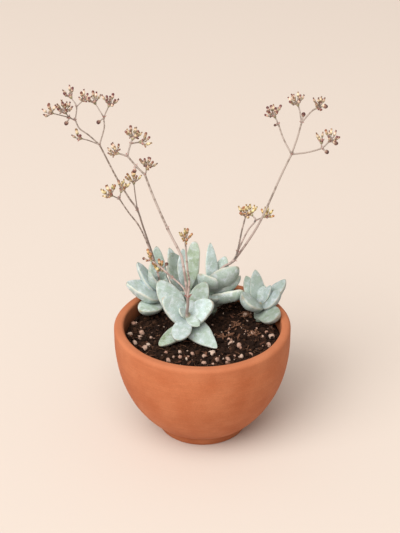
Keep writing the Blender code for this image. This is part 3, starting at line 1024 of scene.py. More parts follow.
@dataclass
class SoilBed:
    """The gritty soil: a waved bed of peat, with loose crumbs, pumice, bark and coir on it."""

    finishes: Finishes
    top: float = 63.6
    wave: float = 0.3
    wave_lengths: Triple = (7.1, 5.7, 4.3)
    wave_start: float = 0.6
    cross_wave: float = 0.6
    edge_drop: float = 0.8
    radius: float = 48.0
    edge_step: float = 1.0
    depth_outline: tuple[Span, ...] = ((0.0, 7.6), (24.0, 7.6), (31.0, 10.0), (39.5, 23.0), (46.2, 42.0))
    rings: int = 56
    sides: int = 220
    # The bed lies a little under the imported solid's surface, and its lumps stand out of it. Their layers
    # weaken by the first number of the three, are finer by the second, and the third is how many.
    sink: float = 0.35
    lump_fineness: float = 0.55
    lump_height: float = 0.55
    lump_layers: tuple[float, float, int] = (0.6, 2.1, 4)
    damp_fineness: float = 0.2
    damp_tint: float = 0.25

    dark_bias: float = 1.6
    small_crumb: Lump = Lump(1, 0.55, 10)
    clod: Lump = Lump(2, 0.6, 10)
    stone: Lump = Lump(3, 0.27, 8)
    crumbs: Litter = Litter(2300, (0.35, 1.15), 0.6)
    clods: Litter = Litter(420, (0.9, 2.0), 2.0)
    pumice_bits: Litter = Litter(120, (0.4, 1.2), 2.0)

    bark_margin: float = 3.0
    fibres: int = 150
    fibre_length: Span = (2.0, 5.5)
    fibre_bend: Span = (-0.9, 0.9)
    fibre_lift: Span = (0.3, 1.1)
    fibre_waver: Span = (-0.15, 0.35)
    fibre_radius: Span = (0.09, 0.2)
    fibre_taper: tuple[float, ...] = (0.6, 1.0, 1.0, 1.0, 0.5)

    chips: int = 60
    chip_variants: int = 6
    chip_bevel: float = 0.04
    chip_size: tuple[Span, Span, Span] = ((2.0, 4.5), (0.8, 1.6), (0.3, 0.6))
    chip_tilt: Span = (-0.4, 0.4)
    chip_lift: Span = (0.3, 0.9)
    chip_stray: float = 0.16
    chip_stray_up: float = 0.6
    chip_tint: float = 0.5
    tuft_parts: int = 26
    tuft_size: tuple[Span, Span, Span] = ((0.8, 2.6), (0.3, 0.8), (0.25, 0.5))
    tuft_lift: Span = (0.5, 1.5)
    tuft_tint: Span = (0.6, 1.0)

    # Pumice that shows in the front view, as x, y and radius in millimetres, and how far it stands out.
    stone_lift: float = 0.3
    pumice: tuple[Triple, ...] = (
        (-43.4, 14.9, 1.6), (-45.2, 1.6, 1.4), (-37.8, 2.8, 1.7), (-38.5, -3.7, 1.8),
        (-41.6, -9.0, 1.6), (-35.5, -15.3, 1.9), (-33.2, -11.9, 1.5), (-22.2, -20.5, 1.3),
        (-13.7, -20.5, 1.3), (-6.1, -22.2, 1.4), (0.9, -24.4, 1.5), (5.7, -21.0, 2.2),
        (8.7, -29.4, 1.7), (15.4, -27.8, 1.5), (22.4, -13.0, 1.7), (23.6, -25.0, 1.6),
        (29.1, -23.3, 1.5), (42.9, -1.4, 2.0), (40.8, -11.3, 1.7), (-20.8, -29.4, 1.5),
        (0.9, -32.2, 1.3), (27.5, 24.6, 1.4), (31.5, 2.2, 1.3), (17.2, -10.1, 1.5),
    )

    # Tufts of bark and coir that show in the front view, as x, y and reach in millimetres.
    tufts: tuple[Triple, ...] = (
        (8.0, 32.0, 3.5), (27.5, 24.5, 4.0), (21.5, 12.0, 3.5), (31.5, 2.0, 3.0), (12.0, -4.0, 3.0),
    )

    def height(self, x: float, y: float) -> float:
        """The bed's middle surface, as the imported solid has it.

        Args:
            x: millimetres to the right.
            y: millimetres to the back.

        Returns:
            Its height there, in millimetres.
        """
        along, across, slanting = self.wave_lengths
        wave = math.sin(x / along + self.wave_start) * math.cos(y / across)
        wave += self.cross_wave * math.sin((x + y) / slanting)
        return self.top + self.wave * wave - self.edge_drop * (math.hypot(x, y) / self.radius) ** 4

    def spot(self, draw: random.Random, margin: float) -> Span:
        """A random place on the bed, at least a margin from its edge.

        Args:
            draw: the source of chance.
            margin: the margin, in millimetres.

        Returns:
            The place as x and y.
        """
        distance = (self.radius - margin) * math.sqrt(draw.random())
        angle = draw.uniform(0, math.tau)
        return distance * math.cos(angle), distance * math.sin(angle)

    def above(self, x: float, y: float, lift: float) -> Matrix:
        """A place at this height above the bed."""
        return Matrix.Translation((x, y, self.height(x, y) + lift))

    def lay_bed(self) -> None:
        """Lays the peat itself, a closed body with a rough top."""
        outline = [*self.depth_outline, (self.radius, self.top - self.edge_step)]
        outline += [(radius, self.top) for radius in spaced(self.radius, 0.0, self.rings)]
        bm = spun(outline, self.sides, "tint")
        tint = bm.verts.layers.float["tint"]
        for vert in bm.verts:
            vert[tint] = self.damp_tint * (1 + noise.noise(vert.co * self.damp_fineness))
            if vert.co.z > self.top - self.edge_step / 2:
                lumps = noise.fractal(vert.co * self.lump_fineness, *self.lump_layers) * self.lump_height
                vert.co.z = self.height(vert.co.x, vert.co.y) - self.sink + lumps
        bed = Assembly("peat_bed", "potting_mix", "soil")
        bed.add(as_template(bm), self.finishes.peat)
        bed.finish()

    def strew(
        self, piece: Assembly, draw: random.Random, litter: Litter, shapes: list[bpy.types.Mesh],
        finish: bpy.types.Material,
    ) -> None:
        """Strews loose bits over the bed, more small ones than large ones.

        Args:
            piece: the piece that they join.
            draw: the source of their places.
            litter: how many, how large and how far out.
            shapes: the shapes to copy.
            finish: what they are made of.
        """
        least, most = litter.sizes
        for _ in range(litter.count):
            x, y = self.spot(draw, litter.margin)
            size = least + (most - least) * draw.random() ** 2
            place = self.above(x, y, size * draw.uniform(*litter.sink))
            shape, turn = draw.choice(shapes), any_turn(draw)
            tint = draw.random() ** self.dark_bias
            piece.add(shape, finish, place @ turn @ Matrix.Scale(size, 4), tint=tint)

    def fibre(self, draw: random.Random) -> bpy.types.Mesh:
        """One curved fibre that lies on the bed.

        Args:
            draw: the source of chance.

        Returns:
            The fibre, where it lies.
        """
        x, y = self.spot(draw, self.bark_margin)
        heading = draw.uniform(0, math.tau)
        length = draw.uniform(*self.fibre_length)
        bend = draw.uniform(*self.fibre_bend)
        lift = draw.uniform(*self.fibre_lift)
        points = []
        for step in range(len(self.fibre_taper)):
            share = step / (len(self.fibre_taper) - 1) - 0.5
            angle = heading + bend * share
            point = Vector((x + length * share * math.cos(angle), y + length * share * math.sin(angle)))
            point *= min((self.radius - 1) / point.length, 1.0)
            waver = draw.uniform(*self.fibre_waver)
            points.append(self.above(point.x, point.y, lift + waver).to_translation())
        thick = draw.uniform(*self.fibre_radius)
        return sweep(points, [thick * share for share in self.fibre_taper], 4)

    def chip(self, draw: random.Random) -> bpy.types.Mesh:
        """One thin sliver of bark, about 1 mm each way before it is sized.

        Args:
            draw: the source of chance.

        Returns:
            The sliver, at the origin.
        """
        bm = bmesh.new()
        bmesh.ops.create_cube(bm, size=1.0)
        bmesh.ops.subdivide_edges(bm, edges=bm.edges, cuts=1, use_grid_fill=True)
        for vert in bm.verts:
            vert.co += self.chip_stray * any_stray(draw, self.chip_stray_up)
        bmesh.ops.bevel(
            bm, geom=bm.edges, offset=self.chip_bevel, offset_type="OFFSET", affect="EDGES", segments=1,
            profile=0.5, material=-1,
        )
        return as_template(bm, smooth=False)

    def strew_crumbs(self, draw: random.Random) -> None:
        """Strews small crumbs and larger clods of peat.

        Args:
            draw: the source of chance.
        """
        crumbs = Assembly("peat_crumbs", "potting_mix")
        small, large = self.small_crumb.shapes(draw), self.clod.shapes(draw)
        self.strew(crumbs, draw, self.crumbs, small, self.finishes.peat)
        self.strew(crumbs, draw, self.clods, large, self.finishes.peat)
        crumbs.finish()

    def strew_grit(self, draw: random.Random) -> None:
        """Strews pumice, and sets the stones that show in the front view.

        Args:
            draw: the source of chance.
        """
        grit = Assembly("pumice_grit", "potting_mix")
        stones = self.stone.shapes(draw)
        self.strew(grit, draw, self.pumice_bits, stones, self.finishes.pumice)
        for x, y, size in self.pumice:
            place = self.above(x, y, size * self.stone_lift)
            stone, turn = draw.choice(stones), any_turn(draw)
            grit.add(stone, self.finishes.pumice, place @ turn @ Matrix.Scale(size, 4), tint=draw.random())
        grit.finish()

    def strew_bark(self, draw: random.Random) -> None:
        """Strews coir fibres and bark, and heaps the paler tufts that show in the front view.

        Args:
            draw: the source of chance.
        """
        strands = Assembly("coir_and_bark", "potting_mix")
        coir = self.finishes.coir
        for _ in range(self.fibres):
            strands.add(self.fibre(draw), coir, tint=draw.random())
        slivers = [self.chip(draw) for _ in range(self.chip_variants)]
        for _ in range(self.chips):
            x, y = self.spot(draw, self.bark_margin)
            size = any_size(draw, *self.chip_size)
            turn = Matrix.Rotation(draw.uniform(0, math.tau), 4, "Z")
            turn @= Matrix.Rotation(draw.uniform(*self.chip_tilt), 4, "Y")
            place = self.above(x, y, draw.uniform(*self.chip_lift))
            strands.add(draw.choice(slivers), coir, place @ turn @ size, tint=draw.random() * self.chip_tint)
        for middle_x, middle_y, reach in self.tufts:
            for _ in range(self.tuft_parts):
                x, y = draw.gauss(middle_x, reach / 2), draw.gauss(middle_y, reach / 2)
                size = any_size(draw, *self.tuft_size)
                place = self.above(x, y, draw.uniform(*self.tuft_lift))
                tint = draw.uniform(*self.tuft_tint)
                strands.add(draw.choice(slivers), coir, place @ any_turn(draw) @ size, tint=tint)
        strands.finish()

    def build(self) -> None:
        """Builds the bed and everything that lies on it."""
        draw = random.Random(SOIL_SEED)
        self.lay_bed()
        self.strew_crumbs(draw)
        self.strew_grit(draw)
        self.strew_bark(draw)


@dataclass(frozen=True)
class LeafOutline:
    """How a leaf widens and closes, and how thick and curled it is.

    The foot is its width at its base as a share of the full width, and the curl the rise of its tip as a
    share of its length. Past its widest place it stays full for longer with a larger full, and it is blunter
    with a smaller point.
    """

    widest: float = 0.45
    foot: float = 0.55
    full: float = 1.9
    point: float = 0.72
    thickness: float = 0.54
    curl: float = 0.05
    base_end: float = 0.06
    opening: float = 1.3

    def half_width(self, along: float) -> float:
        """The leaf's width at a place from 0 at its base to 1 at its tip, as a share of its full width.

        Args:
            along: the place.

        Returns:
            The share, which is 1 where the leaf is widest.
        """
        if along >= self.widest:
            return max(0.0, 1 - ((along - self.widest) / (1 - self.widest)) ** self.full) ** self.point
        closing = math.sqrt(max(0.0, 1 - (1 - min(along / self.base_end, 1.0)) ** 2))
        widening = math.sin(along / self.widest * math.pi / 2) ** self.opening
        return closing * (self.foot + (1 - self.foot) * widening)


class Form(Enum):
    """The outlines that the plant's leaves have."""

    BOAT = LeafOutline()
    LANCE = LeafOutline(full=1.6, point=0.6)
    PADDLE = LeafOutline(widest=0.55, full=1.8, point=0.6)
    DELTOID = LeafOutline(widest=0.33, foot=0.7, full=1.35, point=0.74)
    WEDGE = LeafOutline(widest=0.33, foot=0.92, full=1.6, point=0.5, thickness=0.65, curl=0.0)
    SPEAR = LeafOutline(foot=0.4, full=2.4, point=0.55)
    SPOON = LeafOutline(widest=0.57, foot=0.85, full=2.1, point=0.55)
    BROAD = LeafOutline(widest=0.43, foot=0.9, full=1.5, point=0.65)


@dataclass(frozen=True)
class Leaf:
    """One thick keeled leaf: its form, how it points, how big it is, where on its stem, how worn it is, and
    its painted shade.

    A heading is in degrees round +Z from +X, a rise in degrees above level, and a roll in degrees round the
    leaf's own line. The height is how far up its stem it grows.
    """

    segments: ClassVar[int] = 40
    rings: ClassVar[int] = 30
    keel: ClassVar[float] = 0.74
    keel_round: ClassVar[float] = 1.1
    hollow: ClassVar[float] = 0.14
    thinning: ClassVar[float] = 0.75
    # The margin is a soft line round the leaf, a little above its middle.
    margin_place: ClassVar[float] = 0.06
    margin_width: ClassVar[float] = 0.2
    # A leaf's lumps, each as its fineness and its height.
    lumps: ClassVar[tuple[Span, Span]] = ((0.16, 0.55), (0.5, 0.12))
    lump_fade: ClassVar[float] = 1.5

    form: Form
    heading: float
    rise: float
    length: float
    width: float
    height: float
    roll: float = 0.0
    green: float = 0.4
    rub: float = 0.1
    # Painted light and shade: how dark the leaf is painted for the shade it sits in, from lit at 0 to deep
    # shade at 1.
    shade: float = 0.35

    def surface(self, along: float, across: float, up: float, shift: Vector) -> Vector:
        """Finds a point of the leaf, which lies along +X with its face up.

        Args:
            along: the way from its base at 0 to its tip at 1.
            across: the cosine of the point's turn round the leaf.
            up: the sine of that turn.
            shift: where in the noise this leaf takes its lumps from.

        Returns:
            The point, in millimetres.
        """
        outline = self.form.value
        share = outline.half_width(along)
        thickness = outline.thickness * self.width * share**self.thinning
        if up > 0:
            rise = thickness * ((1 - self.keel) * up - self.hollow * up**3)
        else:
            rise = -thickness * self.keel * abs(up) ** self.keel_round
        rise += outline.curl * self.length * along**2
        point = Vector((along * self.length, across * share * self.width / 2, rise))
        lump = sum(height * noise.noise(point * fineness + shift) for fineness, height in self.lumps)
        return point + Vector((0, lump / 2, lump)) * min(share * self.lump_fade, 1.0)

    def place(self, base: Vector, axis: Vector) -> Matrix:
        """Where the leaf goes, with its face turned to its stem's axis.

        Args:
            base: the foot of the leaf on its stem.
            axis: the stem's direction.

        Returns:
            The leaf's frame.
        """
        heading, rise = math.radians(self.heading), math.radians(self.rise)
        level = math.cos(rise)
        out = Vector((level * math.cos(heading), level * math.sin(heading), math.sin(rise)))
        face = (axis - axis.dot(out) * out).normalized()
        turn = Matrix((out, face.cross(out), face)).transposed().to_4x4()
        return Matrix.Translation(base) @ turn @ Matrix.Rotation(math.radians(self.roll), 4, "X")

    def shape(self, shift: Vector) -> bpy.types.Mesh:
        """Makes the leaf's mesh, with its margin and its way along marked.

        Args:
            shift: where in the noise this leaf takes its lumps from.

        Returns:
            The leaf, along +X.
        """
        bm = new_part("along", "margin")
        way, margin = (bm.verts.layers.float[name] for name in ("along", "margin"))
        bmesh.ops.create_uvsphere(bm, u_segments=self.segments, v_segments=self.rings, radius=1.0)
        for vert in bm.verts:
            out = max(math.hypot(vert.co.x, vert.co.y), 1e-9)
            across, up, along = vert.co.x / out, vert.co.y / out, (vert.co.z + 1) / 2
            vert[way] = along
            vert[margin] = math.exp(-((up - self.margin_place) / self.margin_width) ** 2)
            vert.co = self.surface(along, across, up, shift)
        bmesh.ops.recalc_face_normals(bm, faces=bm.faces)
        return as_template(bm)


@dataclass(frozen=True)
class LeafyStem:
    """One leafy stem: its foot in the soil, its tip, and its leaves from the lowest up."""

    # The core's marks: greener, rubbed bare, and painted darker as shade deep in the rosette.
    core_marks: ClassVar[dict[str, float]] = {"green": 0.8, "rub": 0.9, "tint": 0.8}

    name: str
    foot: Triple
    tip: Triple
    leaves: tuple[Leaf, ...]
    radius: float = 3.2
    end_share: float = 0.6
    knobbly: float = 0.06
    knob_spacing: float = 2.1
    root: float = 3.5
    lead: float = 5.0
    step: float = 2.5
    sides: int = 20
    shift_reach: float = 90.0

    def axis(self) -> Vector:
        """The stem's direction."""
        return (Vector(self.tip) - Vector(self.foot)).normalized()

    def build(self, finishes: Finishes) -> bpy.types.Object:
        """Builds the stem and its leaves as one piece.

        Args:
            finishes: the object's finishes.

        Returns:
            The leafy stem.
        """
        assembly = Assembly("leaves_" + self.name, "glaucous_leaf", "rosette_" + self.name)
        foot, axis = Vector(self.foot), self.axis()
        draw = random.Random("leaves of " + self.name)
        core = smooth_path((foot - axis * self.root, foot + axis * self.lead, Vector(self.tip)), self.step)
        waves = [math.sin(number * self.knob_spacing) for number in range(len(core))]
        radii = [self.radius * (1 + self.knobbly * wave) for wave in waves]
        radii[-1] = self.radius * self.end_share
        assembly.add(sweep(core, radii, self.sides), finishes.leaf, **self.core_marks)
        for leaf in self.leaves:
            shape = leaf.shape(any_shift(draw, self.shift_reach))
            place = leaf.place(foot + axis * leaf.height, axis)
            assembly.add(shape, finishes.leaf, place, green=leaf.green, rub=leaf.rub, tint=leaf.shade)
        return assembly.finish()


# Each leaf's shade paints it lighter or darker for the light that falls on it.
STEMS = (
    LeafyStem("front", (-9.0, 9.0, 60.0), (-9.5, -3.0, 80.5), (
        Leaf(Form.LANCE, 230, -10, 27, 11, 12.5, roll=10, green=0.7, rub=0.9),
        Leaf(Form.PADDLE, 42, 56, 28, 13, 13, green=0.6, rub=0.3, shade=0.55),
        Leaf(Form.DELTOID, 313, -17, 28, 15, 15, green=0.35),
        Leaf(Form.PADDLE, 148, 46, 31, 14.5, 15, roll=-5, green=0.35, shade=0.3),
        Leaf(Form.WEDGE, 184, 47, 21.5, 14.5, 18, roll=-6, green=0.2, shade=0.15),
        Leaf(Form.WEDGE, 352, 41, 20.5, 14.5, 18, roll=8, green=0.1, shade=0.0),
        Leaf(Form.PADDLE, 253, -14, 21.5, 12, 20.5, green=0.15),
        Leaf(Form.BOAT, 60, 56, 11, 7, 20.5, green=0.3),
        Leaf(Form.BOAT, 318, -22, 11, 7, 23, green=0.45),
        Leaf(Form.BOAT, 205, 52, 8.5, 6, 22, green=0.3, shade=0.0),
    )),
    LeafyStem("left", (-27.2, 32.0, 60.0), (-26.9, 32.0, 80.5), (
        Leaf(Form.LANCE, 238, 6, 23, 14.5, 10.5, roll=-8, green=0.6, shade=0.1),
        Leaf(Form.BOAT, 66, 62, 13, 9, 14.5),
        Leaf(Form.DELTOID, 204, 27, 26.5, 19, 15.5, roll=-14, green=0.2, shade=0.0),
        Leaf(Form.BOAT, 25, 48, 9, 8, 14),
        Leaf(Form.BOAT, 160, 50, 25.5, 11, 15, green=0.1),
        Leaf(Form.BOAT, 118, 60, 22, 11, 16, green=0.4),
        Leaf(Form.LANCE, 103, 66, 30, 11, 16, green=0.5),
        Leaf(Form.BOAT, 300, 58, 12, 8, 18),
        Leaf(Form.BOAT, 70, 50, 13, 9, 15, green=0.3),
        Leaf(Form.BOAT, 214, 62, 18, 9, 17.5, green=0.4),
    )),
    LeafyStem("back", (-10.0, 31.0, 60.0), (-9.5, 31.0, 80.0), (
        Leaf(Form.LANCE, 134, 56, 27.5, 16, 16.5, roll=-8, green=0.6, rub=0.4, shade=0.95),
        Leaf(Form.SPEAR, 63, 68, 32.5, 10.5, 18, green=0.9, rub=0.5),
        Leaf(Form.BOAT, 105, 63, 28, 10, 17, green=0.15),
        Leaf(Form.BOAT, 240, 50, 10, 7, 12.5),
        Leaf(Form.BOAT, 78, 32, 22, 12, 11, green=0.5),
        Leaf(Form.BOAT, 129, 54, 34, 11, 13, green=0.25, shade=0.2),
        Leaf(Form.BOAT, 315, 50, 10, 7, 12.5),
    )),
    LeafyStem("middle", (5.5, 28.0, 60.0), (8.0, 27.0, 87.0), (
        Leaf(Form.SPOON, 348, 16, 20.5, 14, 15.5, roll=-38, green=0.5, shade=0.0),
        Leaf(Form.BOAT, 356, 31, 20, 13, 20.5, roll=-15, green=0.4),
        Leaf(Form.BROAD, 338, 41, 20.5, 17, 26.5, roll=-50, green=0.5, shade=0.6),
        Leaf(Form.BROAD, 216, 40, 15, 16, 26, roll=24, green=0.4),
        Leaf(Form.BOAT, 150, 30, 10, 8, 20, green=0.3),
        Leaf(Form.BROAD, 262, 14, 11, 10, 17, green=0.4),
        Leaf(Form.BOAT, 103, 66, 32, 8.5, 19, green=0.2, shade=0.1),
        Leaf(Form.BROAD, 60, 52, 25, 13, 18, green=0.5),
        Leaf(Form.BOAT, 100, 26, 20, 12, 11, green=0.5),
        Leaf(Form.BOAT, 48, 22, 18, 12, 10, green=0.5),
    )),
    LeafyStem("right", (36.0, 20.5, 60.0), (36.0, 19.5, 76.0), (
        Leaf(Form.SPOON, 206, 31, 14.5, 15.5, 15, roll=-8, green=0.45, shade=0.65),
        Leaf(Form.SPOON, 302, 13, 21.5, 13, 10, roll=30, green=0.75, rub=0.4, shade=0.9),
        Leaf(Form.BOAT, 347, 40, 18, 12.5, 13, roll=16, green=0.1, shade=0.75),
        Leaf(Form.BOAT, 24, 40, 24.5, 12, 12, green=0.3, shade=0.75),
        Leaf(Form.BOAT, 104, 60, 23.5, 9.5, 13, green=0.4, shade=0.7),
        Leaf(Form.BOAT, 125, 46, 22, 11, 12, green=0.4),
        Leaf(Form.BOAT, 70, 54, 15, 10, 12),
        Leaf(Form.BOAT, 60, 62, 12.5, 7.5, 14, green=0.2, shade=0.6),
        Leaf(Form.BOAT, 20, 58, 15, 7, 14, green=0.2, shade=0.7),
        Leaf(Form.BOAT, 160, 50, 9, 7, 12, green=0.3),
    )),
)


@dataclass(frozen=True)
class Branch:
    """One branch of a flower stalk: its radius at both ends, the points it passes, and its flowers.

    A branch with one flower ends in a single bud, which has a scale of its own.
    """

    start_radius: float
    end_radius: float
    route: tuple[Triple, ...]
    flowers: int = 0
    bud: float = 0.95

    def points(self) -> tuple[Vector, ...]:
        """The route as vectors."""
        return tuple(Vector(point) for point in self.route)

    def heading(self) -> Vector:
        """The direction at its end."""
        before, end = self.points()[-2:]
        return (end - before).normalized()


SPRAYS = {
    "left": (
        Branch(0.95, 0.65, (
            (-31, 33, 101), (-37, 31, 124), (-40, 29, 136), (-45, 28, 145), (-52, 25, 160), (-61, 21, 183),
        )),
        Branch(0.60, 0.45, ((-61, 21, 183), (-58, 23, 193), (-58, 24, 199), (-55, 24, 206)), 8),
        Branch(0.45, 0.40, ((-58, 24, 199), (-63, 28, 206)), 7),
        Branch(0.40, 0.40, ((-58, 24, 199), (-61, 22, 197)), 1),
        Branch(0.60, 0.50, ((-61, 21, 183), (-67, 19, 190), (-72, 17, 195), (-74, 15, 201))),
        Branch(0.45, 0.40, ((-74, 15, 201), (-73, 16, 209), (-76, 19, 213)), 5),
        Branch(0.40, 0.40, ((-73, 16, 209), (-69, 12, 214)), 6),
        Branch(0.50, 0.45, ((-74, 15, 201), (-77, 14, 203), (-79, 13, 206)), 11),
        Branch(0.45, 0.40, ((-77, 14, 203), (-86, 8, 208)), 6),
        Branch(0.40, 0.40, ((-77, 14, 203), (-79, 13, 200)), 1),
        Branch(0.45, 0.40, ((-61, 21, 183), (-67, 18, 187), (-71, 16, 189)), 4),
        Branch(0.50, 0.45, ((-40, 29, 136), (-41, 31, 143), (-42, 33, 152)), 7),
        Branch(0.80, 0.55, (
            (-30, 33, 95), (-34, 30, 111), (-39, 25, 127), (-45, 20, 139), (-50, 16, 150),
        )),
        Branch(0.50, 0.45, ((-50, 16, 150), (-54, 14, 153)), 9),
        Branch(0.50, 0.45, ((-50, 16, 150), (-49, 17, 154)), 9),
    ),
    "front": (
        Branch(0.95, 0.60, (
            (-9, -4, 93), (-12, 1, 115), (-14, 3, 121), (-21, 6, 135), (-29, 9, 154), (-34, 11, 168),
        )),
        Branch(0.45, 0.40, ((-34, 11, 168), (-33, 12, 171)), 8),
        Branch(0.55, 0.50, ((-34, 11, 168), (-39, 10, 174), (-44, 9, 181))),
        Branch(0.40, 0.40, ((-39, 10, 174), (-40, 8, 172)), 1),
        Branch(0.50, 0.45, ((-44, 9, 181), (-49, 8, 183)), 8),
        Branch(0.50, 0.45, ((-44, 9, 181), (-42, 11, 188), (-41, 12, 190)), 10),
        Branch(0.45, 0.40, ((-42, 11, 188), (-37, 13, 188)), 7),
        Branch(0.65, 0.50, (
            (-9, -4, 93), (-8, -8, 106), (-9, -10, 116), (-10, -13, 134), (-10, -14, 137),
        ), 8),
        Branch(0.50, 0.45, ((-9, -4, 93), (-12, 0, 98), (-18, 6, 101), (-24, 10, 104)), 6),
        Branch(0.45, 0.40, ((-18, 6, 101), (-25, 8, 107), (-31, 10, 111)), 4),
    ),
    "middle": (
        Branch(0.95, 0.60, (
            (10.5, 31, 92), (14, 34.5, 94), (20, 35, 98), (30, 28, 118), (36, 26, 131),
            (42, 25, 147), (47, 24, 161), (53, 23, 176),
        )),
        Branch(0.50, 0.45, ((53, 23, 176), (48, 26, 185), (45, 28, 193), (43, 29, 197)), 10),
        Branch(0.40, 0.40, ((45, 28, 193), (43, 27, 193)), 1, bud=0.6),
        Branch(0.60, 0.50, ((53, 23, 176), (56, 22, 187), (58, 21, 197))),
        Branch(0.45, 0.40, ((58, 21, 197), (57, 24, 203), (56, 25, 206)), 10),
        Branch(0.40, 0.40, ((58, 21, 197), (59, 21, 202)), 1),
        Branch(0.50, 0.45, ((58, 21, 197), (63, 18, 205), (66, 16, 208)), 9),
        Branch(0.55, 0.45, ((53, 23, 176), (62, 19, 179), (70, 16, 183), (74, 14, 188)), 8),
        Branch(0.40, 0.40, ((70, 16, 183), (70, 18, 185)), 5),
        Branch(0.40, 0.40, ((70, 16, 183), (73, 15, 181)), 1),
        Branch(0.65, 0.50, ((20, 35, 98), (22, 30, 107), (24, 20, 126), (26, 16, 138)), 8),
        Branch(0.60, 0.50, ((22, 30, 107), (28, 32, 120), (33, 35, 126), (31, 36, 129)), 7),
        Branch(0.45, 0.40, ((33, 35, 126), (38, 38, 127)), 7),
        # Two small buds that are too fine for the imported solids.
        Branch(0.40, 0.36, ((66, 16, 208), (69, 16, 209), (71, 16, 209)), 1),
        Branch(0.40, 0.36, ((74, 14, 188), (76, 14, 188), (78, 14, 187)), 1),
    ),
}


# Points of the stalks, other than forks, that carry scales.
SCALED_POINTS = {(-21, 6, 135), (-40, 29, 136)}

# The fork low on the front stalk, which wears a collar of larger scales.
BASE_COLLAR = (-9, -4, 93)

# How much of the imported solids' thickness each stalk keeps.
SLIMNESS = {"left": 0.62, "front": 0.92, "middle": 0.82}


@dataclass(frozen=True)
class Station:
    """One ring of a fluted shape: its height and radius in the middle of a petal, and between two petals."""

    height: float
    radius: float
    gap_height: float
    gap_radius: float


# How far a ring is drawn in between two petals, where it doesn't say.
DRAWN_IN = 0.9


def rings(*stations: tuple[float, ...]) -> tuple[Station, ...]:
    """Makes a fluted shape's rings.

    Args:
        stations: each ring's height and radius in the middle of a petal, and then between two petals, which
            a ring may leave out.

    Returns:
        The rings.
    """
    return tuple(Station(*(ring if ring[2:] else (*ring, ring[0], ring[1] * DRAWN_IN))) for ring in stations)


# A cup of sepals, up its outside and down its inside.
CALYX = rings(
    (0.0, 0.25), (0.3, 0.5), (0.7, 0.72, 0.68, 0.66), (1.1, 0.84, 0.85, 0.74), (1.45, 0.9, 0.92, 0.72),
    (1.15, 0.7, 0.8, 0.6), (0.6, 0.25),
)
# Withered petals: full just above the cup, drawn in towards a small flared tip.
SPENT_BODY = rings(
    (0.3, 0.4), (0.9, 0.76), (1.6, 0.84), (2.3, 0.7), (2.8, 0.5), (3.15, 0.42), (3.5, 0.52, 3.35, 0.36),
    (3.8, 0.44, 3.5, 0.26), (3.6, 0.06),
)
# A closed flower, widest near its round head.
CLUB_BODY = rings(
    (0.3, 0.36), (1.0, 0.58), (1.8, 0.74), (2.4, 0.84), (2.9, 0.84), (3.25, 0.66), (3.5, 0.34), (3.56, 0.06)
)
# A single bud, round as a small berry.
ROUND_BODY = rings(
    (0.2, 0.35), (0.6, 0.86), (1.15, 1.24), (1.8, 1.4), (2.4, 1.28), (2.85, 0.96), (3.15, 0.5), (3.24, 0.06)
)


@dataclass(frozen=True)
class FlowerShape:
    """The rings of a flower's body, how far its points stray, how uneven its petals are, and its finish."""

    stations: tuple[Station, ...]
    stray: float
    uneven: float
    finish: str


class FlowerKind(Enum):
    """The kinds of flower on a stalk: withered petals, a closed flower, and a single round bud."""

    SPENT = FlowerShape(SPENT_BODY, 0.04, 0.05, "petal")
    CLUB = FlowerShape(CLUB_BODY, 0.025, 0.01, "bud")
    ROUND = FlowerShape(ROUND_BODY, 0.025, 0.01, "egg")


CUP = FlowerShape(CALYX, 0.05, 0.1, "calyx")


@dataclass(frozen=True)
class Pattern:
    """One pattern flower: its cup of sepals, its body, and the body's finish."""

    calyx: bpy.types.Mesh
    body: bpy.types.Mesh
    finish: bpy.types.Material


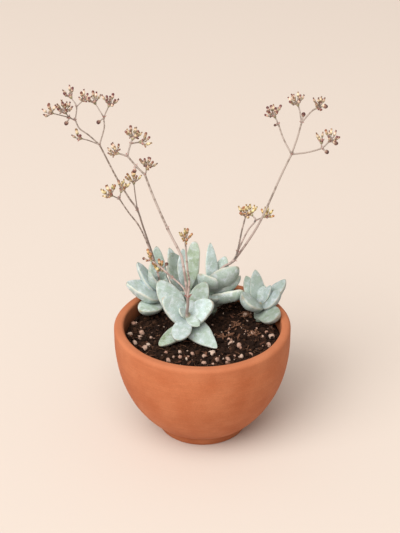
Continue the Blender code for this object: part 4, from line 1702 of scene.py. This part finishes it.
@dataclass
class FlowerPatterns:
    """Pattern flowers and scales, a few of each so that no two neighbours match, which the bunches copy."""

    finishes: Finishes
    petals: int = 5
    variants: int = 7
    core: float = 0.3
    stray_up: float = 0.6
    scale_variants: int = 4
    scale_lean: Span = (0.25, 0.5)
    scale_taper: float = 0.6
    # A scale's half width and half thickness, and its length.
    scale_size: Triple = (0.75, 0.28, 2.1)
    flowers: dict[FlowerKind, list[Pattern]] = field(init=False)
    scales: list[bpy.types.Mesh] = field(init=False)

    def __post_init__(self) -> None:
        """Makes every pattern."""
        draw = random.Random(FLOWER_SEED)
        self.flowers = {kind: [self.flower(kind, draw) for _ in range(self.variants)] for kind in FlowerKind}
        self.scales = [self.scale(draw) for _ in range(self.scale_variants)]

    def fluted(self, shape: FlowerShape, draw: random.Random) -> bpy.types.Mesh:
        """Extrudes a ring of petals or sepals through its stations, closed at both ends.

        Args:
            shape: its rings from the base, up the outside and down the inside, and how uneven it is.
            draw: the source of its unevenness.

        Returns:
            The shape along +Z, with its height marked as along.
        """
        bm = new_part("along")
        along = bm.verts.layers.float["along"]
        sides = 2 * self.petals
        tallest = max(station.height for station in shape.stations)
        bmesh.ops.create_circle(bm, cap_ends=True, segments=sides, radius=1.0)
        end = next(iter(bm.faces))
        longer = [draw.uniform(1 - shape.uneven, 1 + shape.uneven) for _ in range(sides)]
        for number, station in enumerate(shape.stations):
            if number:
                end = extruded(bm, end)
            for vert in end.verts:
                angle = math.atan2(vert.co.y, vert.co.x)
                ray = round((angle - math.pi / 2) / (math.tau / sides)) % sides
                middle = ray % 2 == 0
                height = (station.height if middle else station.gap_height) * longer[ray]
                radius = station.radius if middle else station.gap_radius
                around = math.pi / 2 + ray * math.tau / sides
                vert.co = Vector((radius * math.cos(around), radius * math.sin(around), height))
                vert[along] = height / tallest
        for vert in bm.verts:
            if math.hypot(vert.co.x, vert.co.y) > self.core:
                vert.co += shape.stray * any_stray(draw, self.stray_up)
        bmesh.ops.recalc_face_normals(bm, faces=bm.faces)
        return as_template(bm)

    def flower(self, kind: FlowerKind, draw: random.Random) -> Pattern:
        """Makes one pattern flower.

        Args:
            kind: which kind of flower it is.
            draw: the source of its unevenness.

        Returns:
            The pattern, standing on the origin along +Z.
        """
        cup, body = self.fluted(CUP, draw), self.fluted(kind.value, draw)
        return Pattern(cup, body, getattr(self.finishes, kind.value.finish))

    def scale(self, draw: random.Random) -> bpy.types.Mesh:
        """One small pointed scale along +Z, about 2 mm long, as they sit where a stalk branches.

        Args:
            draw: the source of chance.

        Returns:
            The scale, its base at the origin.
        """
        bm = new_part("along")
        way = bm.verts.layers.float["along"]
        bmesh.ops.create_uvsphere(bm, u_segments=8, v_segments=6, radius=1.0)
        lean = draw.uniform(*self.scale_lean)
        width, thickness, length = self.scale_size
        for vert in bm.verts:
            along = (vert.co.z + 1) / 2
            vert[way] = along
            across = vert.co.x * width * (1 - self.scale_taper * along**2)
            vert.co = Vector((across, vert.co.y * thickness - lean * along**2, along * length))
        return as_template(bm)


@dataclass
class Spray:
    """One flower stalk: its branches, the scales at their forks, and the bunches at their ends."""

    name: str
    finishes: Finishes
    patterns: FlowerPatterns
    slimness: float

    # The stalk: its foot in its leafy stem, its thickness, and how it swells at a fork.
    socket_depth: float = 4.0
    socket_lead: float = 2.0
    path_step: float = 1.2
    stalk_sides: int = 12
    branch_sides: int = 9
    least_skin: float = 0.09
    fork_reach: float = 1.2
    fork_swell: float = 0.3
    waver: float = 0.05
    waver_fineness: float = 0.3
    # How many scales, and their size.
    collar_scales: tuple[int, float] = (7, 1.35)
    fork_scales: tuple[int, float] = (3, 0.75)
    bunch_scales: tuple[int, float] = (5, 1.1)
    scale_out: float = 0.45
    scale_stray: Span = (-0.3, 0.3)
    scale_tilt: Span = (0.3, 0.7)
    scale_size: Span = (0.8, 1.2)

    # A bunch: how its flowers spread from its knob, and what room they need.
    # The knob's rings, as the way along from the branch's end and the radius, and its middle.
    knob: tuple[Span, ...] = ((-0.4, 0.5), (0.5, 1.0), (1.3, 1.15), (2.0, 0.6))
    knob_middle: float = 1.3
    knob_sides: int = 10
    knob_green: float = 0.2
    scales_way: float = 0.6
    bunch_lean: float = math.radians(80)
    first_lean: float = 0.35
    lean_stray: Span = (-0.08, 0.08)
    turn_stray: Span = (-0.2, 0.2)
    bunch_lift: float = 0.6
    bunch_room: float = 3.4
    branch_room: float = 1.8
    flower_reach: Span = (2.0, 3.2)
    crowding: float = 0.12
    flower_radius: float = 1.2
    stalklet: float = 0.36
    stalklet_size: Span = (0.85, 1.15)
    stalklet_inset: float = 0.4
    stalklet_bend: float = 0.55
    stalklet_droop: float = 0.4
    stalklet_overlap: float = 0.2
    stalklet_step: float = 0.9
    stalklet_sides: int = 6

    # A flower: its size, its turn upwards, its kind and its side bud.
    flower_size: Span = (0.85, 1.15)
    flower_slimness: float = 0.96
    flower_rise: Span = (0.45, 0.95)
    club_share: float = 0.4
    side_bud_share: float = 0.6
    side_bud_size: Span = (0.45, 0.7)
    side_bud_stray: float = 0.8
    bud_middle: float = 1.7
    # The lowest bunches hold round buds too, and larger flowers.
    berry_height: float = 115.0
    berry_share: float = 0.4
    berry_size: float = 0.75
    low_size: float = 1.25
    # Heights between which the flowers turn from greenish gold to brown.
    golden_height: float = 125.0
    brown_height: float = 205.0
    golden_stray: Span = (-0.3, 0.3)

    def golden(self, height: float) -> float:
        """How golden the flowers are at a height, from 0 to 1."""
        return clamped((self.brown_height - height) / (self.brown_height - self.golden_height))

    def place_flower(
        self, assembly: Assembly, kind: FlowerKind, base: Vector, along: Vector, size: float,
        draw: random.Random,
    ) -> None:
        """Adds one flower.

        Args:
            assembly: the piece that it joins.
            kind: which kind of flower it is.
            base: where its stalklet ends.
            along: where it points.
            size: its scale.
            draw: the source of its turn and tint.
        """
        pattern = draw.choice(self.patterns.flowers[kind])
        turn = upright(along) @ Matrix.Rotation(draw.uniform(0, math.tau), 4, "Z")
        slim = size * (1.0 if kind is FlowerKind.ROUND else self.flower_slimness)
        place = Matrix.Translation(base) @ turn @ Matrix.Diagonal((slim, slim, size, 1.0))
        golden = clamped(self.golden(base.z) + draw.uniform(*self.golden_stray))
        tint = draw.random()
        assembly.add(pattern.calyx, self.finishes.calyx, place, green=golden, tint=tint)
        assembly.add(pattern.body, pattern.finish, place, green=golden, tint=tint)

    def place_scales(
        self, assembly: Assembly, spot: Vector, along: Vector, scales: tuple[int, float], draw: random.Random
    ) -> None:
        """Adds scales round a fork.

        Args:
            assembly: the piece that they join.
            spot: the fork.
            along: the stalk's direction there.
            scales: how many scales, and their size.
            draw: the source of their places.
        """
        count, size = scales
        fork = Matrix.Translation(spot) @ upright(along)
        start = draw.uniform(0, math.tau)
        for number in range(count):
            turn = start + number * math.tau / count + draw.uniform(*self.scale_stray)
            around = Matrix.Rotation(turn, 4, "Z")
            out = Matrix.Translation((0, -self.scale_out, 0))
            out @= Matrix.Rotation(draw.uniform(*self.scale_tilt), 4, "X")
            place = fork @ around @ out @ Matrix.Scale(size * draw.uniform(*self.scale_size), 4)
            scale = draw.choice(self.patterns.scales)
            assembly.add(scale, self.finishes.bract, place, green=0.0, tint=draw.random())

    def forks(self) -> list[Vector]:
        """The points where the stalk swells and carries scales."""
        starts = {branch.route[0] for branch in SPRAYS[self.name][1:]}
        return [Vector(point) for point in sorted(starts | SCALED_POINTS)]

    def radii(self, branch: Branch, path: list[Vector]) -> list[float]:
        """The branch's radius at each point of its path.

        Args:
            branch: the branch.
            path: the points that it is swept along.

        Returns:
            The radii.
        """
        forks = self.forks()
        found = []
        for step, point in enumerate(path):
            share = step / (len(path) - 1)
            radius = branch.start_radius + (branch.end_radius - branch.start_radius) * share
            nearness = max(math.exp(-((point - fork).length / self.fork_reach) ** 2) for fork in forks)
            uneven = self.fork_swell * nearness + self.waver * noise.noise(point * self.waver_fineness)
            found.append(radius * (self.slimness + uneven) + self.least_skin)
        return found

    def build_stalk(self) -> bpy.types.Object:
        """Builds the branches with their scales and single buds.

        Returns:
            The stalk.
        """
        assembly = Assembly("stalk_of_" + self.name + "_stem", "flower_stalk", "stalk_" + self.name)
        draw = random.Random("stalk of " + self.name)
        stem = next(stem for stem in STEMS if stem.name == self.name)
        tip, axis = Vector(stem.tip), stem.axis()
        forks = {tuple(fork) for fork in self.forks()}
        sides = self.stalk_sides
        points = (tip - axis * self.socket_depth, tip + axis * self.socket_lead)
        for branch in SPRAYS[self.name]:
            points += branch.points()
            path = smooth_path(points, self.path_step)
            assembly.add(sweep(path, self.radii(branch, path), sides), self.finishes.stalk)
            for before, node in zip(points, points[1:]):
                if tuple(node) in forks:
                    scales = self.collar_scales if tuple(node) == BASE_COLLAR else self.fork_scales
                    self.place_scales(assembly, node, (node - before).normalized(), scales, draw)
            if branch.flowers == 1:
                base = points[-1] - branch.heading() * self.bud_middle * branch.bud
                self.place_flower(assembly, FlowerKind.ROUND, base, branch.heading(), branch.bud, draw)
            points, sides = (), self.branch_sides
        return assembly.finish()

    def directions(self, axis: Vector, count: int, draw: random.Random) -> list[Vector]:
        """Directions spread evenly over a cap round an axis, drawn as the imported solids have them.

        Args:
            axis: the cap's middle.
            count: how many.
            draw: the source of chance.

        Returns:
            The directions, each of length 1.
        """
        side = axis.orthogonal().normalized()
        across = axis.cross(side)
        found = []
        for number in range(count):
            lean = self.bunch_lean * math.sqrt((number + self.first_lean) / count)
            lean += draw.uniform(*self.lean_stray)
            turn = number * GOLDEN_TURN + draw.uniform(*self.turn_stray)
            sideways = math.cos(turn) * side + math.sin(turn) * across
            found.append((math.cos(lean) * axis + math.sin(lean) * sideways).normalized())
        return found

    def is_clear(self, middle: Vector, taken: list[Vector]) -> bool:
        """Whether a flower's middle is clear of other bunches' flowers and of every branch.

        Args:
            middle: the flower's middle.
            taken: the middles of the other bunches' flowers.

        Returns:
            Whether it is clear.
        """
        if any((spot - middle).length < self.bunch_room for spot in taken):
            return False
        for branches in SPRAYS.values():
            for branch in branches:
                for start, end in zip(branch.points(), branch.points()[1:]):
                    run = end - start
                    share = clamped((middle - start).dot(run) / run.dot(run))
                    if (middle - start - share * run).length < self.branch_room:
                        return False
        return True

    def kind(self, low: bool, looks: random.Random) -> tuple[FlowerKind, float]:
        """Draws a flower's kind, and how much larger than usual it is.

        Args:
            low: whether its bunch is one of the lowest.
            looks: the source of the draw.

        Returns:
            The kind and the scale.
        """
        kind = FlowerKind.CLUB if looks.random() < self.club_share else FlowerKind.SPENT
        if low and looks.random() < self.berry_share:
            return FlowerKind.ROUND, self.berry_size
        return kind, self.low_size if low else 1.0

    def grow_flower(
        self, assembly: Assembly, centre: Vector, along: Vector, reach: float, size: float, low: bool,
        looks: random.Random,
    ) -> None:
        """Adds one flower of a bunch on its curved stalklet, and often a side bud.

        Args:
            assembly: the piece that it joins.
            centre: the middle of the bunch's knob.
            along: where the flower goes from there.
            reach: how far.
            size: its scale.
            low: whether its bunch is one of the lowest.
            looks: the source of its looks.
        """
        kind, larger = self.kind(low, looks)
        run = along * (reach - self.stalklet_inset)
        base, bend = centre + run, centre + run * self.stalklet_bend - UP * self.stalklet_droop
        rise = looks.uniform(*self.flower_rise)
        lift = along if kind is FlowerKind.ROUND else (along + UP * rise).normalized()
        thick = self.stalklet * looks.uniform(*self.stalklet_size)
        path = smooth_path((centre, bend, base), self.stalklet_step)
        assembly.add(sweep(path, [thick] * len(path), self.stalklet_sides), self.finishes.stalk)
        self.place_flower(assembly, kind, base - lift * self.stalklet_overlap, lift, size * larger, looks)
        if looks.random() < self.side_bud_share:
            aside = (along + any_stray(looks) * self.side_bud_stray).normalized()
            size = looks.uniform(*self.side_bud_size)
            self.place_flower(assembly, FlowerKind.CLUB, bend, aside, size, looks)

    def bunch(
        self, assembly: Assembly, branch: Branch, draw: random.Random, looks: random.Random,
        taken: list[Vector],
    ) -> None:
        """Adds one bunch: a knob with scales, and its flowers on their stalklets.

        Args:
            assembly: the piece that it joins.
            branch: the branch that carries it.
            draw: the source of its places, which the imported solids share.
            looks: the source of everything else.
            taken: the flowers of the bunches before, which these join.
        """
        axis, end = branch.heading(), branch.points()[-1]
        centre = end + axis * self.knob_middle
        path, radii = [end + axis * way for way, _ in self.knob], [radius for _, radius in self.knob]
        knob = sweep(path, radii, self.knob_sides)
        assembly.add(knob, self.finishes.calyx, green=self.knob_green, tint=looks.random())
        self.place_scales(assembly, end + axis * self.scales_way, axis, self.bunch_scales, looks)
        own = []
        for along in self.directions((axis + UP * self.bunch_lift).normalized(), branch.flowers, draw):
            reach = draw.uniform(*self.flower_reach) + self.crowding * branch.flowers
            size = draw.uniform(*self.flower_size)
            middle = centre + along * (reach + self.flower_radius)
            if self.is_clear(middle, taken):
                own.append(middle)
                self.grow_flower(assembly, centre, along, reach, size, end.z < self.berry_height, looks)
        taken.extend(own)

    def build_flowers(self) -> bpy.types.Object:
        """Builds every bunch of the spray as one piece.

        Returns:
            The flowers.
        """
        carriers = [branch for branch in SPRAYS[self.name] if branch.flowers > 1]
        nodes = [f"head_{self.name}_{number:02d}" for number in range(1, len(carriers) + 1)]
        assembly = Assembly("flowers_of_" + self.name + "_stem", "flower_bunch", *nodes)
        draw = random.Random("flowers of " + self.name)
        looks = random.Random("looks of " + self.name)
        taken: list[Vector] = []
        for branch in carriers:
            self.bunch(assembly, branch, draw, looks, taken)
        return assembly.finish()


@dataclass(frozen=True)
class Studio:
    """A pale paper floor, two large soft lights, light from all round, and the camera. In metres."""

    paper: BackdropPaper = BackdropPaper("peach_studio_paper", 0.95)
    floor_radius: float = 6.0
    floor_sides: int = 64
    aim: Triple = (-0.00153, 0.0, 0.1124)
    distance: float = 0.7602
    elevation: float = math.radians(28.49)
    lens: float = 85.0
    key_from: Triple = (-3.5, -3.5, 3.9)
    key_power: float = 302.0
    roof_from: Triple = (-0.9, -2.7, 4.9)
    roof_power: float = 236.0
    light_size: float = 5.4
    light_colour: str = "#FFFDFA"
    air_colour: str = "#FFF3EA"
    air_strength: float = 0.57

    def lay_floor(self) -> None:
        """Lays the floor."""
        bm = bmesh.new()
        bmesh.ops.create_circle(bm, cap_ends=True, segments=self.floor_sides, radius=self.floor_radius)
        mesh = as_mesh(bm, "paper_floor")
        mesh.materials.append(self.paper.build())
        floor = put_in_scene("paper_floor", mesh)

    def hang_light(self, name: str, place: Triple, power: float) -> None:
        """Hangs one round soft light that looks at the object.

        Args:
            name: the light's name.
            place: where it hangs.
            power: its power in watts.
        """
        light = bpy.data.lights.new(name, "AREA")
        light.shape = "DISK"
        light.size = self.light_size
        light.energy = power
        light.color = linear(self.light_colour)[:3]
        lamp = put_in_scene(name, light)
        lamp.location = place
        lamp.rotation_euler = (Vector(place) - Vector(self.aim)).to_track_quat("Z", "Y").to_euler()

    def fill_air(self) -> None:
        """Fills the air with soft light."""
        world = bpy.data.worlds.new("soft_air")
        world.use_nodes = True
        settings = {"Color": self.air_colour, "Strength": self.air_strength}
        settle(world.node_tree, world.node_tree.nodes["Background"], settings)
        bpy.context.scene.world = world

    def set_camera(self) -> None:
        """Sets the camera at the photograph's angle."""
        camera = put_in_scene("camera", bpy.data.cameras.new("camera"))
        camera.data.lens = self.lens
        back = Vector((0, -math.cos(self.elevation), math.sin(self.elevation)))
        camera.location = Vector(self.aim) + back * self.distance
        camera.rotation_euler = (math.pi / 2 - self.elevation, 0, 0)
        bpy.context.scene.camera = camera

    def build(self) -> None:
        """Sets up the studio."""
        self.lay_floor()
        self.hang_light("key", self.key_from, self.key_power)
        self.hang_light("roof", self.roof_from, self.roof_power)
        self.fill_air()
        self.set_camera()
        bpy.context.scene.view_settings.view_transform = "Standard"


def main() -> None:
    """Builds the pieces, from the bowl up."""
    logging.basicConfig(level=logging.INFO, format="%(message)s")
    finishes = Finishes()
    Studio().build()
    Bowl(finishes).build()
    SoilBed(finishes).build()
    for stem in STEMS:
        stem.build(finishes)
    patterns = FlowerPatterns(finishes)
    for name, slimness in SLIMNESS.items():
        spray = Spray(name, finishes, patterns, slimness)
        spray.build_stalk()
        spray.build_flowers()


if __name__ == "__main__":
    main()
